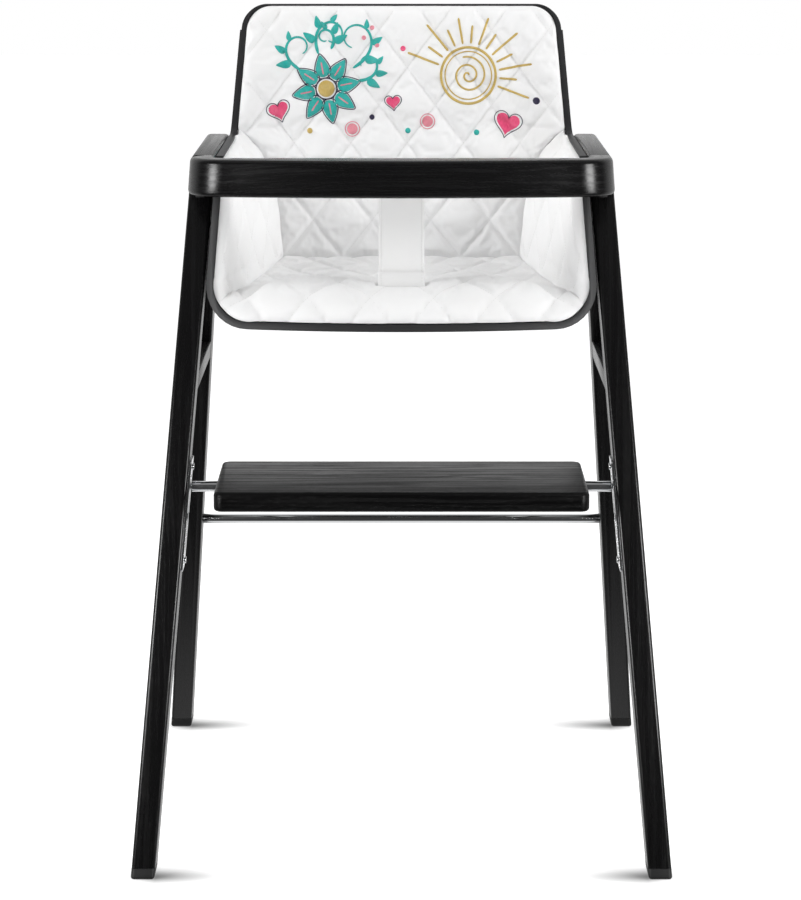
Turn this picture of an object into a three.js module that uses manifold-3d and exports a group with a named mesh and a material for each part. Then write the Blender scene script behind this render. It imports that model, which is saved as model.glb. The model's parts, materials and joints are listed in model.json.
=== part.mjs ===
// Baby high chair: two leaning side frames of black wood, a padded tub seat
// between them, a lift-off bumper bar and a height-adjustable footrest.
//
// Millimetres, +Z up, the floor at z = 0. The sitter faces -Y, so the sitter's
// left is +X. The origin is on the floor, midway between the four feet.
import * as THREE from 'three';
import { LoftGeometry } from 'three/addons/geometries/LoftGeometry.js';
import { mergeVertices } from 'three/addons/utils/BufferGeometryUtils.js';
import Module from 'manifold-3d';

const wasm = await Module();
wasm.setup();

// ---------- driving dimensions ----------

const GAP = 0.3;                  // clearance between neighbouring pieces

// Side frames: both lean inwards, and their legs form a narrow A.
const FRAME_WIDTH = 600;          // over the feet, left to right
const LEG_SPREAD = 588;           // front face of the front foot to that of the rear foot
const LEG_WIDTH = 26.5;
const LEG_DEPTH = 45;
const LEG_EDGE = 4;               // edge radius
const LEAN_IN = 0.0805;           // sideways run of a frame per unit of height
const LEAN_ALONG = 0.30;          // fore-and-aft run of a leg per unit of height
const LEG_TOP = 738;
const FOOT_CAP_HEIGHT = 12;
const FOOT_STEM_RADIUS = 6;
const FOOT_STEM_TOP = 30;

const RAIL_TOP = 534;
const RAIL_HEIGHT = 20;
const RAIL_WIDTH = 22;

// Armrests and the bumper bar that continues them round the front.
const ARM_BOTTOM = LEG_TOP;
const ARM_TOP = 780;
const ARM_WIDTH = 28;
const ARM_EDGE = 5;
const ARM_REAR = 178.5;
const BAR_SEAM = -94.5;           // where the bar meets the armrests
const BAR_FRONT = -162.5;         // front face on the centre line
const BAR_BOW = 12;
const BAR_BACK = -123.5;
const BAR_CORNER = 43;            // outer corner radius in plan
const BAR_INNER_CORNER = 14;
const BAR_MID_HALF_WIDTH = 239;

// Tub seat.
const SHELL_WALL = 8;
const SHELL_HALF_AT_FLOOR = 271.2;  // outer half width, run down to the floor
const SHELL_BOTTOM = 590;
const SHELL_TOP = 932.5;
const SHELL_FLOOR_RADIUS = 50;
const SHELL_TOP_RADIUS = 30;
const SHELL_CORNER_LOW = 66;      // plan corner between side and back, at the seat
const SHELL_CORNER_HIGH = 34;     // the same corner, at the armrests
const SHELL_LEVELS = [665, 700, 740];  // where the walls are sectioned above their rounded foot
const SHELL_LIP_CENTRE = -171.5;  // front lip on the centre line
const SHELL_LIP_BOW = 29;
const SHELL_LIP_HALF = 208;
const SHELL_LIP_RISE = 0.212;     // the side edges lean back as they rise
const BACK_RECLINE = 0.29;        // rearward run of the back per unit of height
const BACK_AT_BOTTOM = 163;       // outer face of the back at the shell's bottom
const WING_START = 183.5;         // where the side edges turn up into the back
const WING_RECLINE = 0.345;
const WING_BEND = 20;             // how far the turn-up is rounded to each side

const SEAT_TOP = 631;             // top of the seat cushion
const BACK_PAD_THICKNESS = 15;

// Crotch strap, from its slot in the seat up to the bumper bar.
const STRAP_WIDTH = 52;
const STRAP_THICKNESS = 5;
const STRAP_FRONT = BAR_BACK + GAP;
const STRAP_TOP = 772;
const STRAP_HEM_BOTTOM = 580.5;

// Footrest.
const BOARD_LENGTH = 414;
const BOARD_DEPTH = 179;
const BOARD_HEIGHT = 22;
const BOARD_CENTRE_Y = -168;
const BOARD_CORNER = 10;
const BOARD_EDGE = 4;
const ROD_RADIUS = 6;
const FOOTREST_Z = 414;
const FOOTREST_ROD_HALF = 236.6;
const FOOTREST_PIN_RADIUS = 3.5;
const FOOTREST_PIN_END = 251.9;
const FOOTREST_DROP = 65;         // travel below the rest height
const FOOTREST_LIFT = 9;          // travel above it
const PLATE_BOTTOM = 325;
const PLATE_TOP = 445;
const PLATE_WIDTH = 34;
const PLATE_THICKNESS = 2;
const SLOT_WIDTH = 8.6;
const GROOVE_DEPTH = 13.5;

const REAR_ROD_Z = 293;
const REAR_ROD_SOCKET = 10;

const BEYOND = 400;               // half side of a trimming tool, past every face of the chair
const BEYOND_SHELL = 260;         // the same across the tub
const BEYOND_LIP = 240;           // the same across the tub's front lip
const BLANK_TOP = 960;            // the tub before its rim is cut
const BELOW_SHELL = 500;          // where tools start that cut up through the tub

// ---------- places worked out from them ----------

const HALF_DEPTH = (LEG_SPREAD + LEG_DEPTH) / 2;
const LEG_INNER_AT_FLOOR = FRAME_WIDTH / 2 - LEG_WIDTH;
const SLEEVE = 0.4;               // how far a bore's radius exceeds its dowel's

const legInnerX = (z) => LEG_INNER_AT_FLOOR - LEAN_IN * z;
const frontLegY = (z) => LEG_DEPTH / 2 - HALF_DEPTH + LEAN_ALONG * z;
const rearLegY = (z) => -frontLegY(z);
const armMidX = (z) => FRAME_WIDTH / 2 - ARM_WIDTH / 2 - LEAN_IN * z;
const shellHalf = (z) => SHELL_HALF_AT_FLOOR - LEAN_IN * z;
const backOuterY = (z) => BACK_AT_BOTTOM + BACK_RECLINE * (z - SHELL_BOTTOM);

// ---------- materials ----------

const material = (color, roughness, metalness = 0) =>
  new THREE.MeshStandardMaterial({ color, roughness, metalness });

const blackWood = material(0x17161a, 0.42);
const chrome = material(0xd8dadc, 0.08, 1);
const steel = material(0x9a9c9f, 0.3, 1);
const shellPlastic = material(0x232325, 0.5);
const blackPlastic = material(0x1b1b1c, 0.55);
const whiteLeather = material(0xf2f1ee, 0.45);
const strapFabric = material(0xf4f3f1, 0.6);
const beech = material(0xc9a678, 0.7);

// ---------- solids ----------

const AXIS_X = new THREE.Vector3(1, 0, 0);
const AXIS_Y = new THREE.Vector3(0, 1, 0);
const AXIS_Z = new THREE.Vector3(0, 0, 1);

function toSolid(geometry) {
  const bare = new THREE.BufferGeometry().copy(geometry);
  bare.deleteAttribute('normal');
  bare.deleteAttribute('uv');
  const merged = mergeVertices(bare, 1e-4);
  return new wasm.Manifold(new wasm.Mesh({
    numProp: 3,
    vertProperties: new Float32Array(merged.attributes.position.array),
    triVerts: new Uint32Array(merged.index.array),
  }));
}

function toGeometry(solid) {
  const mesh = solid.getMesh();
  const geometry = new THREE.BufferGeometry();
  geometry.setAttribute('position', new THREE.BufferAttribute(mesh.vertProperties, 3));
  geometry.setIndex(new THREE.BufferAttribute(mesh.triVerts, 1));
  geometry.computeVertexNormals();
  return geometry;
}

function cut(geometry, ...tools) {
  return toGeometry(tools.reduce((solid, tool) => solid.subtract(toSolid(tool)), toSolid(geometry)));
}

function keep(geometry, ...tools) {
  return toGeometry(tools.reduce((solid, tool) => solid.intersect(toSolid(tool)), toSolid(geometry)));
}

function join(geometry, ...others) {
  return toGeometry(others.reduce((solid, other) => solid.add(toSolid(other)), toSolid(geometry)));
}

function roundedRect(width, depth, radius) {
  const w = width / 2 - radius;
  const d = depth / 2 - radius;
  const shape = new THREE.Shape();
  shape.absarc(w, d, radius, 0, Math.PI / 2);
  shape.absarc(-w, d, radius, Math.PI / 2, Math.PI);
  shape.absarc(-w, -d, radius, Math.PI, Math.PI * 1.5);
  shape.absarc(w, -d, radius, Math.PI * 1.5, Math.PI * 2);
  shape.closePath();
  return shape;
}

function outline(points) {
  return new THREE.Shape(points.map(([a, b]) => new THREE.Vector2(a, b)));
}

// A prism between z = low and z = high, with an optional rounded edge.
function upright(shape, low, high, { edge = 0, curveSegments = 4 } = {}) {
  const geometry = new THREE.ExtrudeGeometry(shape, {
    depth: high - low - 2 * edge,
    bevelEnabled: edge > 0,
    bevelThickness: edge,
    bevelSize: edge,
    bevelOffset: -edge,
    bevelSegments: 3,
    curveSegments,
  });
  return geometry.translate(0, 0, low + edge);
}

// A prism along X, from a shape drawn in (y, z).
function crosswise(shape, from, to, { steps = 1, curveSegments = 8 } = {}) {
  const geometry = new THREE.ExtrudeGeometry(shape, {
    depth: to - from,
    bevelEnabled: false,
    curveSegments,
    steps,
  });
  const turned = new THREE.Matrix4().makeBasis(AXIS_Y, AXIS_Z, AXIS_X);
  return geometry.applyMatrix4(turned).translate(from, 0, 0);
}

// A prism along Y, from a shape drawn in (x, z).
function lengthwise(shape, from, to, curveSegments = 10) {
  const geometry = new THREE.ExtrudeGeometry(shape, {
    depth: to - from,
    bevelEnabled: false,
    curveSegments,
  });
  const turned = new THREE.Matrix4().makeBasis(AXIS_X, AXIS_Z, AXIS_Y.clone().negate());
  return geometry.applyMatrix4(turned).translate(0, to, 0);
}

function cylinder(radius, from, to, segments = 16) {
  const start = new THREE.Vector3(...from);
  const run = new THREE.Vector3(...to).sub(start);
  const turn = new THREE.Quaternion().setFromUnitVectors(AXIS_Y, run.clone().normalize());
  return new THREE.CylinderGeometry(radius, radius, run.length(), segments)
    .applyQuaternion(turn)
    .translate(...start.addScaledVector(run, 0.5));
}

function box(low, high) {
  const size = high.map((value, i) => value - low[i]);
  return new THREE.BoxGeometry(...size)
    .translate(...high.map((value, i) => (value + low[i]) / 2));
}

function warp(geometry, move) {
  const position = geometry.attributes.position;
  const point = new THREE.Vector3();
  for (let i = 0; i < position.count; i += 1) {
    point.fromBufferAttribute(position, i);
    move(point);
    position.setXYZ(i, point.x, point.y, point.z);
  }
  return geometry;
}

// Leans a piece of one side frame: inwards, and backwards by `along`.
function leaned(geometry, side, along) {
  return warp(geometry, (p) => {
    p.x -= side * LEAN_IN * p.z;
    p.y += along * p.z;
  });
}

// ---------- assembly ----------

const group = new THREE.Group();
group.name = 'baby_high_chair';

function add(name, geometry, look) {
  const mesh = new THREE.Mesh(geometry, look);
  mesh.name = name;
  group.add(mesh);
}

const SIDES = [['left', 1], ['right', -1]];

// ---------- fasteners and dowels: sizes shared by a piece and its bore ----------

const LEG_DOWEL = { radius: 5, low: 718, high: 750 };
const RAIL_DOWEL = { radius: 4, reach: 15 };
const SEAT_BOLT = { z: 700, headRadius: 6, headDepth: 3.2, shankRadius: 3, end: 228 };
const PLATE_SCREW = { headRadius: 4, headHeight: 1.8, shankRadius: 1.8, depth: 16 };
const PLATE_SCREW_HEIGHTS = [335, 436];
const BAR_PIN = { radius: 4, z: 759, inArm: 50, inBar: 14 };
const BUTTON = { radius: 5, y: -112, low: 734.5, high: 741, travel: 3 };
const SNAP = { x: 15, z: 759, capRadius: 6.5, capThickness: 2.2, postRadius: 3, reach: 5.5 };
const SET_SCREW = { x: 120, radius: 2.5, low: 404, high: 407.6 };

const legs = [
  { end: 'front', along: LEAN_ALONG, y: frontLegY },
  { end: 'rear', along: -LEAN_ALONG, y: rearLegY },
];

// The slot a footrest pin rides in, drawn upright in (y, z) and then leaned.
function footrestSlot(side, width, from, to) {
  const low = FOOTREST_Z - FOOTREST_DROP - width / 2 - GAP;
  const high = FOOTREST_Z + FOOTREST_LIFT + width / 2 + GAP;
  const shape = roundedRect(width, high - low, width / 2 - 0.1);
  const bar = crosswise(shape, Math.min(side * from, side * to), Math.max(side * from, side * to));
  bar.translate(0, frontLegY(0), (low + high) / 2);
  return leaned(bar, side, LEAN_ALONG);
}

function plateScrewPlaces(side) {
  return PLATE_SCREW_HEIGHTS.map((z) => [side * legInnerX(z), frontLegY(z), z]);
}

function seatBoltBore(side, y, radius) {
  return cylinder(radius, [side * 195, y, SEAT_BOLT.z], [side * (SEAT_BOLT.end + 1), y, SEAT_BOLT.z]);
}

function rodBore(side, y, z, end) {
  return cylinder(ROD_RADIUS + SLEEVE, [side * 200, y, z], [side * end, y, z], 24);
}

function footStem(side, leg, radius, top) {
  const x = side * (LEG_INNER_AT_FLOOR + LEG_WIDTH / 2);
  return cylinder(radius, [x, leg.y(0), FOOT_CAP_HEIGHT / 2], [x, leg.y(0), top]);
}

function railDowel(side, leg, radius, reach) {
  const z = RAIL_TOP - RAIL_HEIGHT / 2;
  const x = side * (legInnerX(z) + LEG_WIDTH / 2);
  const inward = -Math.sign(leg.y(0));
  const seam = leg.y(z) + -Math.sign(leg.y(z)) * (LEG_DEPTH / 2);
  return cylinder(radius, [x, seam - inward * reach, z], [x, seam + inward * reach, z], 12);
}

function legDowel(side, leg, radius, slack) {
  const x = side * armMidX(LEG_TOP + 10);
  const y = leg.y(LEG_TOP);
  return cylinder(radius, [x, y, LEG_DOWEL.low - slack], [x, y, LEG_DOWEL.high + slack], 12);
}

// ---------- legs, feet, rails ----------

const rearRodY = rearLegY(REAR_ROD_Z);

function legGeometry(side, leg) {
  const section = roundedRect(LEG_WIDTH, LEG_DEPTH, LEG_EDGE);
  const bar = upright(section, FOOT_CAP_HEIGHT + GAP, LEG_TOP - GAP);
  bar.translate(side * (LEG_INNER_AT_FLOOR + LEG_WIDTH / 2), leg.y(0), 0);
  const bores = [
    footStem(side, leg, FOOT_STEM_RADIUS + SLEEVE, FOOT_STEM_TOP + 1),
    legDowel(side, leg, LEG_DOWEL.radius + SLEEVE, GAP),
    railDowel(side, leg, RAIL_DOWEL.radius + SLEEVE, RAIL_DOWEL.reach + GAP),
    seatBoltBore(side, leg.y(SEAT_BOLT.z), SEAT_BOLT.shankRadius + SLEEVE),
  ];
  if (leg.end === 'front') {
    bores.push(footrestSlot(side, SLOT_WIDTH + SLEEVE, LEG_INNER_AT_FLOOR - 1,
      LEG_INNER_AT_FLOOR + GROOVE_DEPTH));
    for (const [x, y, z] of plateScrewPlaces(side)) {
      bores.push(cylinder(PLATE_SCREW.shankRadius + SLEEVE,
        [x - side * 4, y, z], [x + side * (PLATE_SCREW.depth + 1), y, z], 12));
    }
  } else {
    bores.push(rodBore(side, rearRodY, REAR_ROD_Z, legInnerX(REAR_ROD_Z) + REAR_ROD_SOCKET + 1));
  }
  return cut(leaned(bar, side, leg.along), ...bores);
}

function footCapGeometry(side, leg) {
  const section = roundedRect(LEG_WIDTH, LEG_DEPTH, LEG_EDGE);
  const block = upright(section, 0, 2 * FOOT_CAP_HEIGHT, { edge: 3 });
  block.translate(side * (LEG_INNER_AT_FLOOR + LEG_WIDTH / 2), leg.y(0), 0);
  const lower = box([-BEYOND, -BEYOND, -1], [BEYOND, BEYOND, FOOT_CAP_HEIGHT]);
  const cap = keep(leaned(block, side, leg.along), lower);
  return join(cap, footStem(side, leg, FOOT_STEM_RADIUS, FOOT_STEM_TOP));
}

function railGeometry(side) {
  const low = RAIL_TOP - RAIL_HEIGHT;
  const end = (z) => frontLegY(z) + LEG_DEPTH / 2 + GAP;
  const shape = outline([
    [end(low), low], [-end(low), low], [-end(RAIL_TOP), RAIL_TOP], [end(RAIL_TOP), RAIL_TOP],
  ]);
  const inner = LEG_INNER_AT_FLOOR + 0.5;
  const ends = [side * inner, side * (inner + RAIL_WIDTH)].sort((a, b) => a - b);
  const bar = leaned(crosswise(shape, ...ends), side, 0);
  const bores = legs.map((leg) =>
    railDowel(side, leg, RAIL_DOWEL.radius + SLEEVE, RAIL_DOWEL.reach + GAP));
  return cut(bar, ...bores);
}

for (const [hand, side] of SIDES) {
  for (const leg of legs) {
    add(`${hand}_${leg.end}_leg`, legGeometry(side, leg), blackWood);
    add(`${hand}_${leg.end}_foot_cap`, footCapGeometry(side, leg), blackPlastic);
    add(`${hand}_${leg.end}_leg_dowel`, legDowel(side, leg, LEG_DOWEL.radius, 0), beech);
    add(`${hand}_${leg.end}_rail_dowel`,
      railDowel(side, leg, RAIL_DOWEL.radius, RAIL_DOWEL.reach), beech);
  }
  add(`${hand}_side_rail`, railGeometry(side), blackWood);
}

// ---------- armrests, bumper bar, its pins and buttons ----------

function barPin(side, radius, slack) {
  const x = side * armMidX(BAR_PIN.z);
  return cylinder(radius, [x, BAR_SEAM - BAR_PIN.inBar - slack, BAR_PIN.z],
    [x, BAR_SEAM + BAR_PIN.inArm + slack, BAR_PIN.z]);
}

function armrestGeometry(side) {
  const overrun = 20;
  const length = ARM_REAR - BAR_SEAM + overrun;
  const plan = roundedRect(ARM_WIDTH, length, ARM_EDGE + 1);
  const block = upright(plan, ARM_BOTTOM, ARM_TOP, { edge: ARM_EDGE });
  const middle = ARM_REAR - length / 2;
  block.translate(side * (FRAME_WIDTH - ARM_WIDTH) / 2, middle, 0);
  const front = box([-BEYOND, -BEYOND, 0], [BEYOND, BAR_SEAM + GAP / 2, ARM_TOP + BEYOND]);
  const bores = legs.map((leg) => legDowel(side, leg, LEG_DOWEL.radius + SLEEVE, GAP));
  return cut(leaned(block, side, 0), front, barPin(side, BAR_PIN.radius + 0.5, 12), ...bores);
}

// The bar's plan: a shallow bow across the front, tight corners, two short arms.
function barPlan() {
  const outer = BAR_MID_HALF_WIDTH;
  const inner = outer - ARM_WIDTH;
  const overrun = BAR_SEAM + 20;
  const cornerFront = BAR_FRONT + BAR_BOW;
  const half = outer - BAR_CORNER;
  const bowRadius = (half ** 2 + BAR_BOW ** 2) / (2 * BAR_BOW);
  const bowAngle = Math.asin(half / bowRadius);
  const down = -Math.PI / 2;
  const shape = new THREE.Shape();
  shape.moveTo(-outer, overrun);
  shape.absarc(-half, cornerFront + BAR_CORNER, BAR_CORNER, Math.PI, Math.PI * 1.5);
  shape.absarc(0, BAR_FRONT + bowRadius, bowRadius, down - bowAngle, down + bowAngle);
  shape.absarc(half, cornerFront + BAR_CORNER, BAR_CORNER, down, 0);
  shape.lineTo(outer, overrun);
  shape.lineTo(inner, overrun);
  const nook = inner - BAR_INNER_CORNER;
  const nookY = BAR_BACK + BAR_INNER_CORNER;
  shape.absarc(nook, nookY, BAR_INNER_CORNER, 0, down, true);
  shape.absarc(-nook, nookY, BAR_INNER_CORNER, down, -Math.PI, true);
  shape.lineTo(-inner, overrun);
  shape.closePath();
  return shape;
}

function bumperBarGeometry() {
  const middle = (ARM_BOTTOM + ARM_TOP) / 2;
  const block = upright(barPlan(), ARM_BOTTOM, ARM_TOP, { edge: ARM_EDGE, curveSegments: 12 });
  warp(block, (p) => {
    p.x *= 1 - (LEAN_IN * (p.z - middle)) / BAR_MID_HALF_WIDTH;
  });
  const rear = box([-BEYOND, BAR_SEAM - GAP / 2, 0], [BEYOND, BEYOND, ARM_TOP + BEYOND]);
  const bores = SIDES.flatMap(([, side]) => [
    barPin(side, BAR_PIN.radius + SLEEVE, GAP),
    buttonAt(side, BUTTON.radius + SLEEVE, BUTTON.low - 1, BUTTON.high + BUTTON.travel + 1),
    cylinder(SNAP.postRadius + 0.6, [side * SNAP.x, BAR_BACK + 4, SNAP.z],
      [side * SNAP.x, BAR_BACK - SNAP.reach - 1, SNAP.z], 12),
  ]);
  return cut(block, rear, ...bores);
}

function buttonAt(side, radius, low, high) {
  const x = side * armMidX(LEG_TOP);
  return cylinder(radius, [x, BUTTON.y, low], [x, BUTTON.y, high]);
}

add('bumper_bar', bumperBarGeometry(), blackWood);
for (const [hand, side] of SIDES) {
  add(`${hand}_armrest`, armrestGeometry(side), blackWood);
  add(`${hand}_bar_pin`, barPin(side, BAR_PIN.radius, 0), steel);
  add(`${hand}_bar_release_button`, buttonAt(side, BUTTON.radius, BUTTON.low, BUTTON.high),
    blackPlastic);
}

// ---------- tub shell ----------

// How far the rounded bottom edge draws the wall in at a height above the floor.
function edgeDraw(height, radius) {
  if (height >= radius) {
    return 0;
  }
  return radius - Math.sqrt(radius ** 2 - (radius - Math.max(height, 0)) ** 2);
}

// The plan corner between side and back: wide at the seat, tighter higher up.
function backCornerRadius(z) {
  const t = THREE.MathUtils.smoothstep(z, SEAT_TOP, ARM_TOP);
  return THREE.MathUtils.lerp(SHELL_CORNER_LOW, SHELL_CORNER_HIGH, t);
}

// One level of the tub, `inset` inside its outer face, open-ended to the front.
function tubSection(z, inset) {
  const radius = SHELL_FLOOR_RADIUS - inset;
  const draw = edgeDraw(z - SHELL_BOTTOM - inset, radius);
  const half = shellHalf(z) - inset - draw;
  const back = backOuterY(z) - inset * Math.hypot(1, BACK_RECLINE) - draw;
  const corner = Math.max(backCornerRadius(z) - inset - draw * 0.5, 4);
  const steps = 10;
  const points = [new THREE.Vector3(-half, -300, z), new THREE.Vector3(half, -300, z)];
  for (const side of [1, -1]) {
    for (let i = 0; i <= steps; i += 1) {
      const turn = (Math.PI / 2) * (side > 0 ? i / steps : 1 - i / steps);
      points.push(new THREE.Vector3(
        side * (half - corner + corner * Math.cos(turn)),
        back - corner + corner * Math.sin(turn),
        z,
      ));
    }
  }
  return points;
}

function tub(inset, top) {
  const floor = SHELL_BOTTOM + inset;
  const radius = SHELL_FLOOR_RADIUS - inset;
  const levels = [];
  for (let i = 0; i <= 9; i += 1) {
    levels.push(floor + radius * (1 - Math.cos((Math.PI / 2) * (i / 9))));
  }
  levels.push(...SHELL_LEVELS, ARM_TOP, top);
  const sections = levels.map((z) => tubSection(z, inset));
  return new LoftGeometry(sections, { capStart: true, capEnd: true });
}

// Everything behind the bowed front lip, `inset` behind the lip itself.
function behindLip(inset) {
  const radius = (SHELL_LIP_HALF ** 2 + SHELL_LIP_BOW ** 2) / (2 * SHELL_LIP_BOW);
  const angle = Math.asin(BEYOND_LIP / radius);
  const down = -Math.PI / 2;
  const shape = new THREE.Shape();
  shape.absarc(0, SHELL_LIP_CENTRE + inset + radius, radius, down - angle, down + angle);
  shape.lineTo(BEYOND_LIP, BEYOND);
  shape.lineTo(-BEYOND_LIP, BEYOND);
  shape.closePath();
  const block = upright(shape, 0, BEYOND, { curveSegments: 28 });
  block.translate(0, 0, SHELL_BOTTOM - 10);
  return warp(block, (p) => {
    p.y += SHELL_LIP_RISE * (p.z - SHELL_BOTTOM);
  });
}

// Everything under the side edges and in front of the back's rim.
function belowRim(inset) {
  const top = SHELL_TOP - inset;
  const side = ARM_TOP - inset;
  const start = WING_START + inset;
  const shape = new THREE.Shape();
  shape.moveTo(-BEYOND, BELOW_SHELL);
  shape.lineTo(BEYOND, BELOW_SHELL);
  shape.lineTo(BEYOND, top);
  shape.lineTo(start + WING_RECLINE * (top - side), top);
  shape.lineTo(start + WING_RECLINE * WING_BEND, side + WING_BEND);
  shape.quadraticCurveTo(start, side, start - WING_BEND, side);
  shape.lineTo(-BEYOND, side);
  shape.closePath();
  return crosswise(shape, -BEYOND_SHELL, BEYOND_SHELL);
}

// The head of the back, with its two rounded corners.
function roundedHead(inset) {
  const top = SHELL_TOP - inset;
  const radius = SHELL_TOP_RADIUS - inset;
  const half = shellHalf(top) - inset;
  const shape = new THREE.Shape();
  shape.moveTo(-BEYOND_SHELL, BELOW_SHELL);
  shape.lineTo(BEYOND_SHELL, BELOW_SHELL);
  shape.lineTo(BEYOND_SHELL, SHELL_LEVELS[1]);
  shape.lineTo(half + LEAN_IN * radius, top - radius);
  shape.absarc(half - radius, top - radius, radius, 0, Math.PI / 2);
  shape.absarc(radius - half, top - radius, radius, Math.PI / 2, Math.PI);
  shape.lineTo(-half - LEAN_IN * radius, top - radius);
  shape.lineTo(-BEYOND_SHELL, SHELL_LEVELS[1]);
  shape.closePath();
  return lengthwise(shape, -BEYOND, BEYOND);
}

function strapSlot(low, high) {
  const half = STRAP_WIDTH / 2 + 1.2;
  return box([-half, STRAP_FRONT - 1.2, low], [half, STRAP_FRONT + STRAP_THICKNESS + 1.2, high]);
}

const BOLT_HEAD_X = shellHalf(SEAT_BOLT.z) - SHELL_WALL + 0.6;

function seatBoltHead(side, y, radius, slack) {
  const start = slack > 0 ? BOLT_HEAD_X - 12 : BOLT_HEAD_X;
  return cylinder(radius, [side * start, y, SEAT_BOLT.z],
    [side * (BOLT_HEAD_X + SEAT_BOLT.headDepth + slack), y, SEAT_BOLT.z]);
}

function shellGeometry() {
  const bolts = SIDES.flatMap(([, side]) => legs.flatMap((leg) => {
    const y = leg.y(SEAT_BOLT.z);
    return [
      seatBoltBore(side, y, SEAT_BOLT.shankRadius + SLEEVE),
      seatBoltHead(side, y, SEAT_BOLT.headRadius + SLEEVE, GAP),
    ];
  }));
  const walls = cut(tub(0, BLANK_TOP), tub(SHELL_WALL, BLANK_TOP + 20));
  const trimmed = keep(walls, behindLip(0), belowRim(0), roundedHead(0));
  return cut(trimmed, strapSlot(BELOW_SHELL, SEAT_TOP), ...bolts);
}

add('seat_shell', shellGeometry(), shellPlastic);
for (const [hand, side] of SIDES) {
  for (const leg of legs) {
    const y = leg.y(SEAT_BOLT.z);
    const shank = cylinder(SEAT_BOLT.shankRadius,
      [side * (BOLT_HEAD_X + 1), y, SEAT_BOLT.z], [side * SEAT_BOLT.end, y, SEAT_BOLT.z]);
    add(`${hand}_${leg.end}_seat_bolt`,
      join(seatBoltHead(side, y, SEAT_BOLT.headRadius, 0), shank), steel);
  }
}

// ---------- pads ----------

const backPadY = (z) =>
  backOuterY(z) - (SHELL_WALL + BACK_PAD_THICKNESS) * Math.hypot(1, BACK_RECLINE);

function padSpace() {
  return tub(SHELL_WALL + GAP, BLANK_TOP);
}

function seatPadGeometry() {
  const front = SHELL_LIP_CENTRE + SHELL_WALL + 2;
  const floor = SHELL_BOTTOM + SHELL_WALL;
  const shape = new THREE.Shape();
  shape.moveTo(front, floor - 20);
  shape.lineTo(front, floor + 4);
  shape.quadraticCurveTo(front + 4, SEAT_TOP, front + 40, SEAT_TOP);
  shape.lineTo(BEYOND, SEAT_TOP);
  shape.lineTo(BEYOND, floor - 20);
  shape.closePath();
  const block = crosswise(shape, -BEYOND_LIP, BEYOND_LIP, { steps: 12 });
  warp(block, (p) => {
    p.y += SHELL_LIP_BOW * (p.x / SHELL_LIP_HALF) ** 2;
  });
  return cut(keep(block, padSpace()), strapSlot(BELOW_SHELL, ARM_TOP));
}

function backPadGeometry() {
  const low = SEAT_TOP + GAP;
  const top = SHELL_TOP - 4;
  const shape = outline([
    [backPadY(low), low], [BEYOND, low], [BEYOND, top], [backPadY(top), top],
  ]);
  return keep(crosswise(shape, -BEYOND_LIP, BEYOND_LIP), padSpace(), roundedHead(4), belowRim(4));
}

// A side cushion is thickest low down at the back, where the tub narrows.
function sidePadGeometry(side) {
  const levels = [
    { z: SEAT_TOP + GAP, front: [197, -128], rear: 147 },
    { z: ARM_TOP - 4, front: [187, -95], rear: 182 },
  ];
  const sections = levels.map(({ z, front, rear }) => {
    const [x, y] = front;
    const back = backPadY(z) - 0.5;
    const corners = [[x, y], [BEYOND_LIP, y], [BEYOND_LIP, back], [rear, back]];
    const around = side > 0 ? corners : corners.reverse();
    return around.map(([across, along]) => new THREE.Vector3(side * across, along, z));
  });
  return keep(new LoftGeometry(sections, { capStart: true, capEnd: true }), padSpace());
}

add('seat_pad', seatPadGeometry(), whiteLeather);
add('backrest_pad', backPadGeometry(), whiteLeather);
for (const [hand, side] of SIDES) {
  add(`${hand}_side_pad`, sidePadGeometry(side), whiteLeather);
}

// ---------- crotch strap ----------

const HEM_DEPTH = 11;
const HEM_TOP = SHELL_BOTTOM - GAP;
const ANCHOR = {
  radius: 2, half: 42, y: STRAP_FRONT + STRAP_THICKNESS / 2, z: (STRAP_HEM_BOTTOM + HEM_TOP) / 2,
};

function anchorRod(radius, slack) {
  const half = ANCHOR.half + slack;
  return cylinder(radius, [-half, ANCHOR.y, ANCHOR.z], [half, ANCHOR.y, ANCHOR.z], 12);
}

function strapGeometry() {
  const half = STRAP_WIDTH / 2;
  const rear = STRAP_FRONT + STRAP_THICKNESS;
  const band = box([-half, STRAP_FRONT, STRAP_HEM_BOTTOM], [half, rear, STRAP_TOP]);
  const hem = box([-half, ANCHOR.y - HEM_DEPTH / 2, STRAP_HEM_BOTTOM],
    [half, ANCHOR.y + HEM_DEPTH / 2, HEM_TOP]);
  const anchor = anchorRod(ANCHOR.radius + SLEEVE, 18);
  const posts = SIDES.map(([, side]) => cylinder(SNAP.postRadius + SLEEVE,
    [side * SNAP.x, STRAP_FRONT - 5, SNAP.z], [side * SNAP.x, rear + 5, SNAP.z], 12));
  return cut(join(band, hem), anchor, ...posts);
}

function snapGeometry(side) {
  const rear = STRAP_FRONT + STRAP_THICKNESS + GAP;
  const x = side * SNAP.x;
  const cap = cylinder(SNAP.capRadius, [x, rear, SNAP.z], [x, rear + SNAP.capThickness, SNAP.z]);
  const post = cylinder(SNAP.postRadius, [x, BAR_BACK - SNAP.reach, SNAP.z],
    [x, rear + 1, SNAP.z], 12);
  return join(cap, post);
}

add('crotch_strap', strapGeometry(), strapFabric);
for (const [hand, side] of SIDES) {
  add(`${hand}_strap_snap`, snapGeometry(side), steel);
}
add('strap_anchor_rod', anchorRod(ANCHOR.radius, 0), steel);

// ---------- footrest ----------

const footrestRodY = frontLegY(FOOTREST_Z);
const PIN_IN_ROD = 12;

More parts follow.
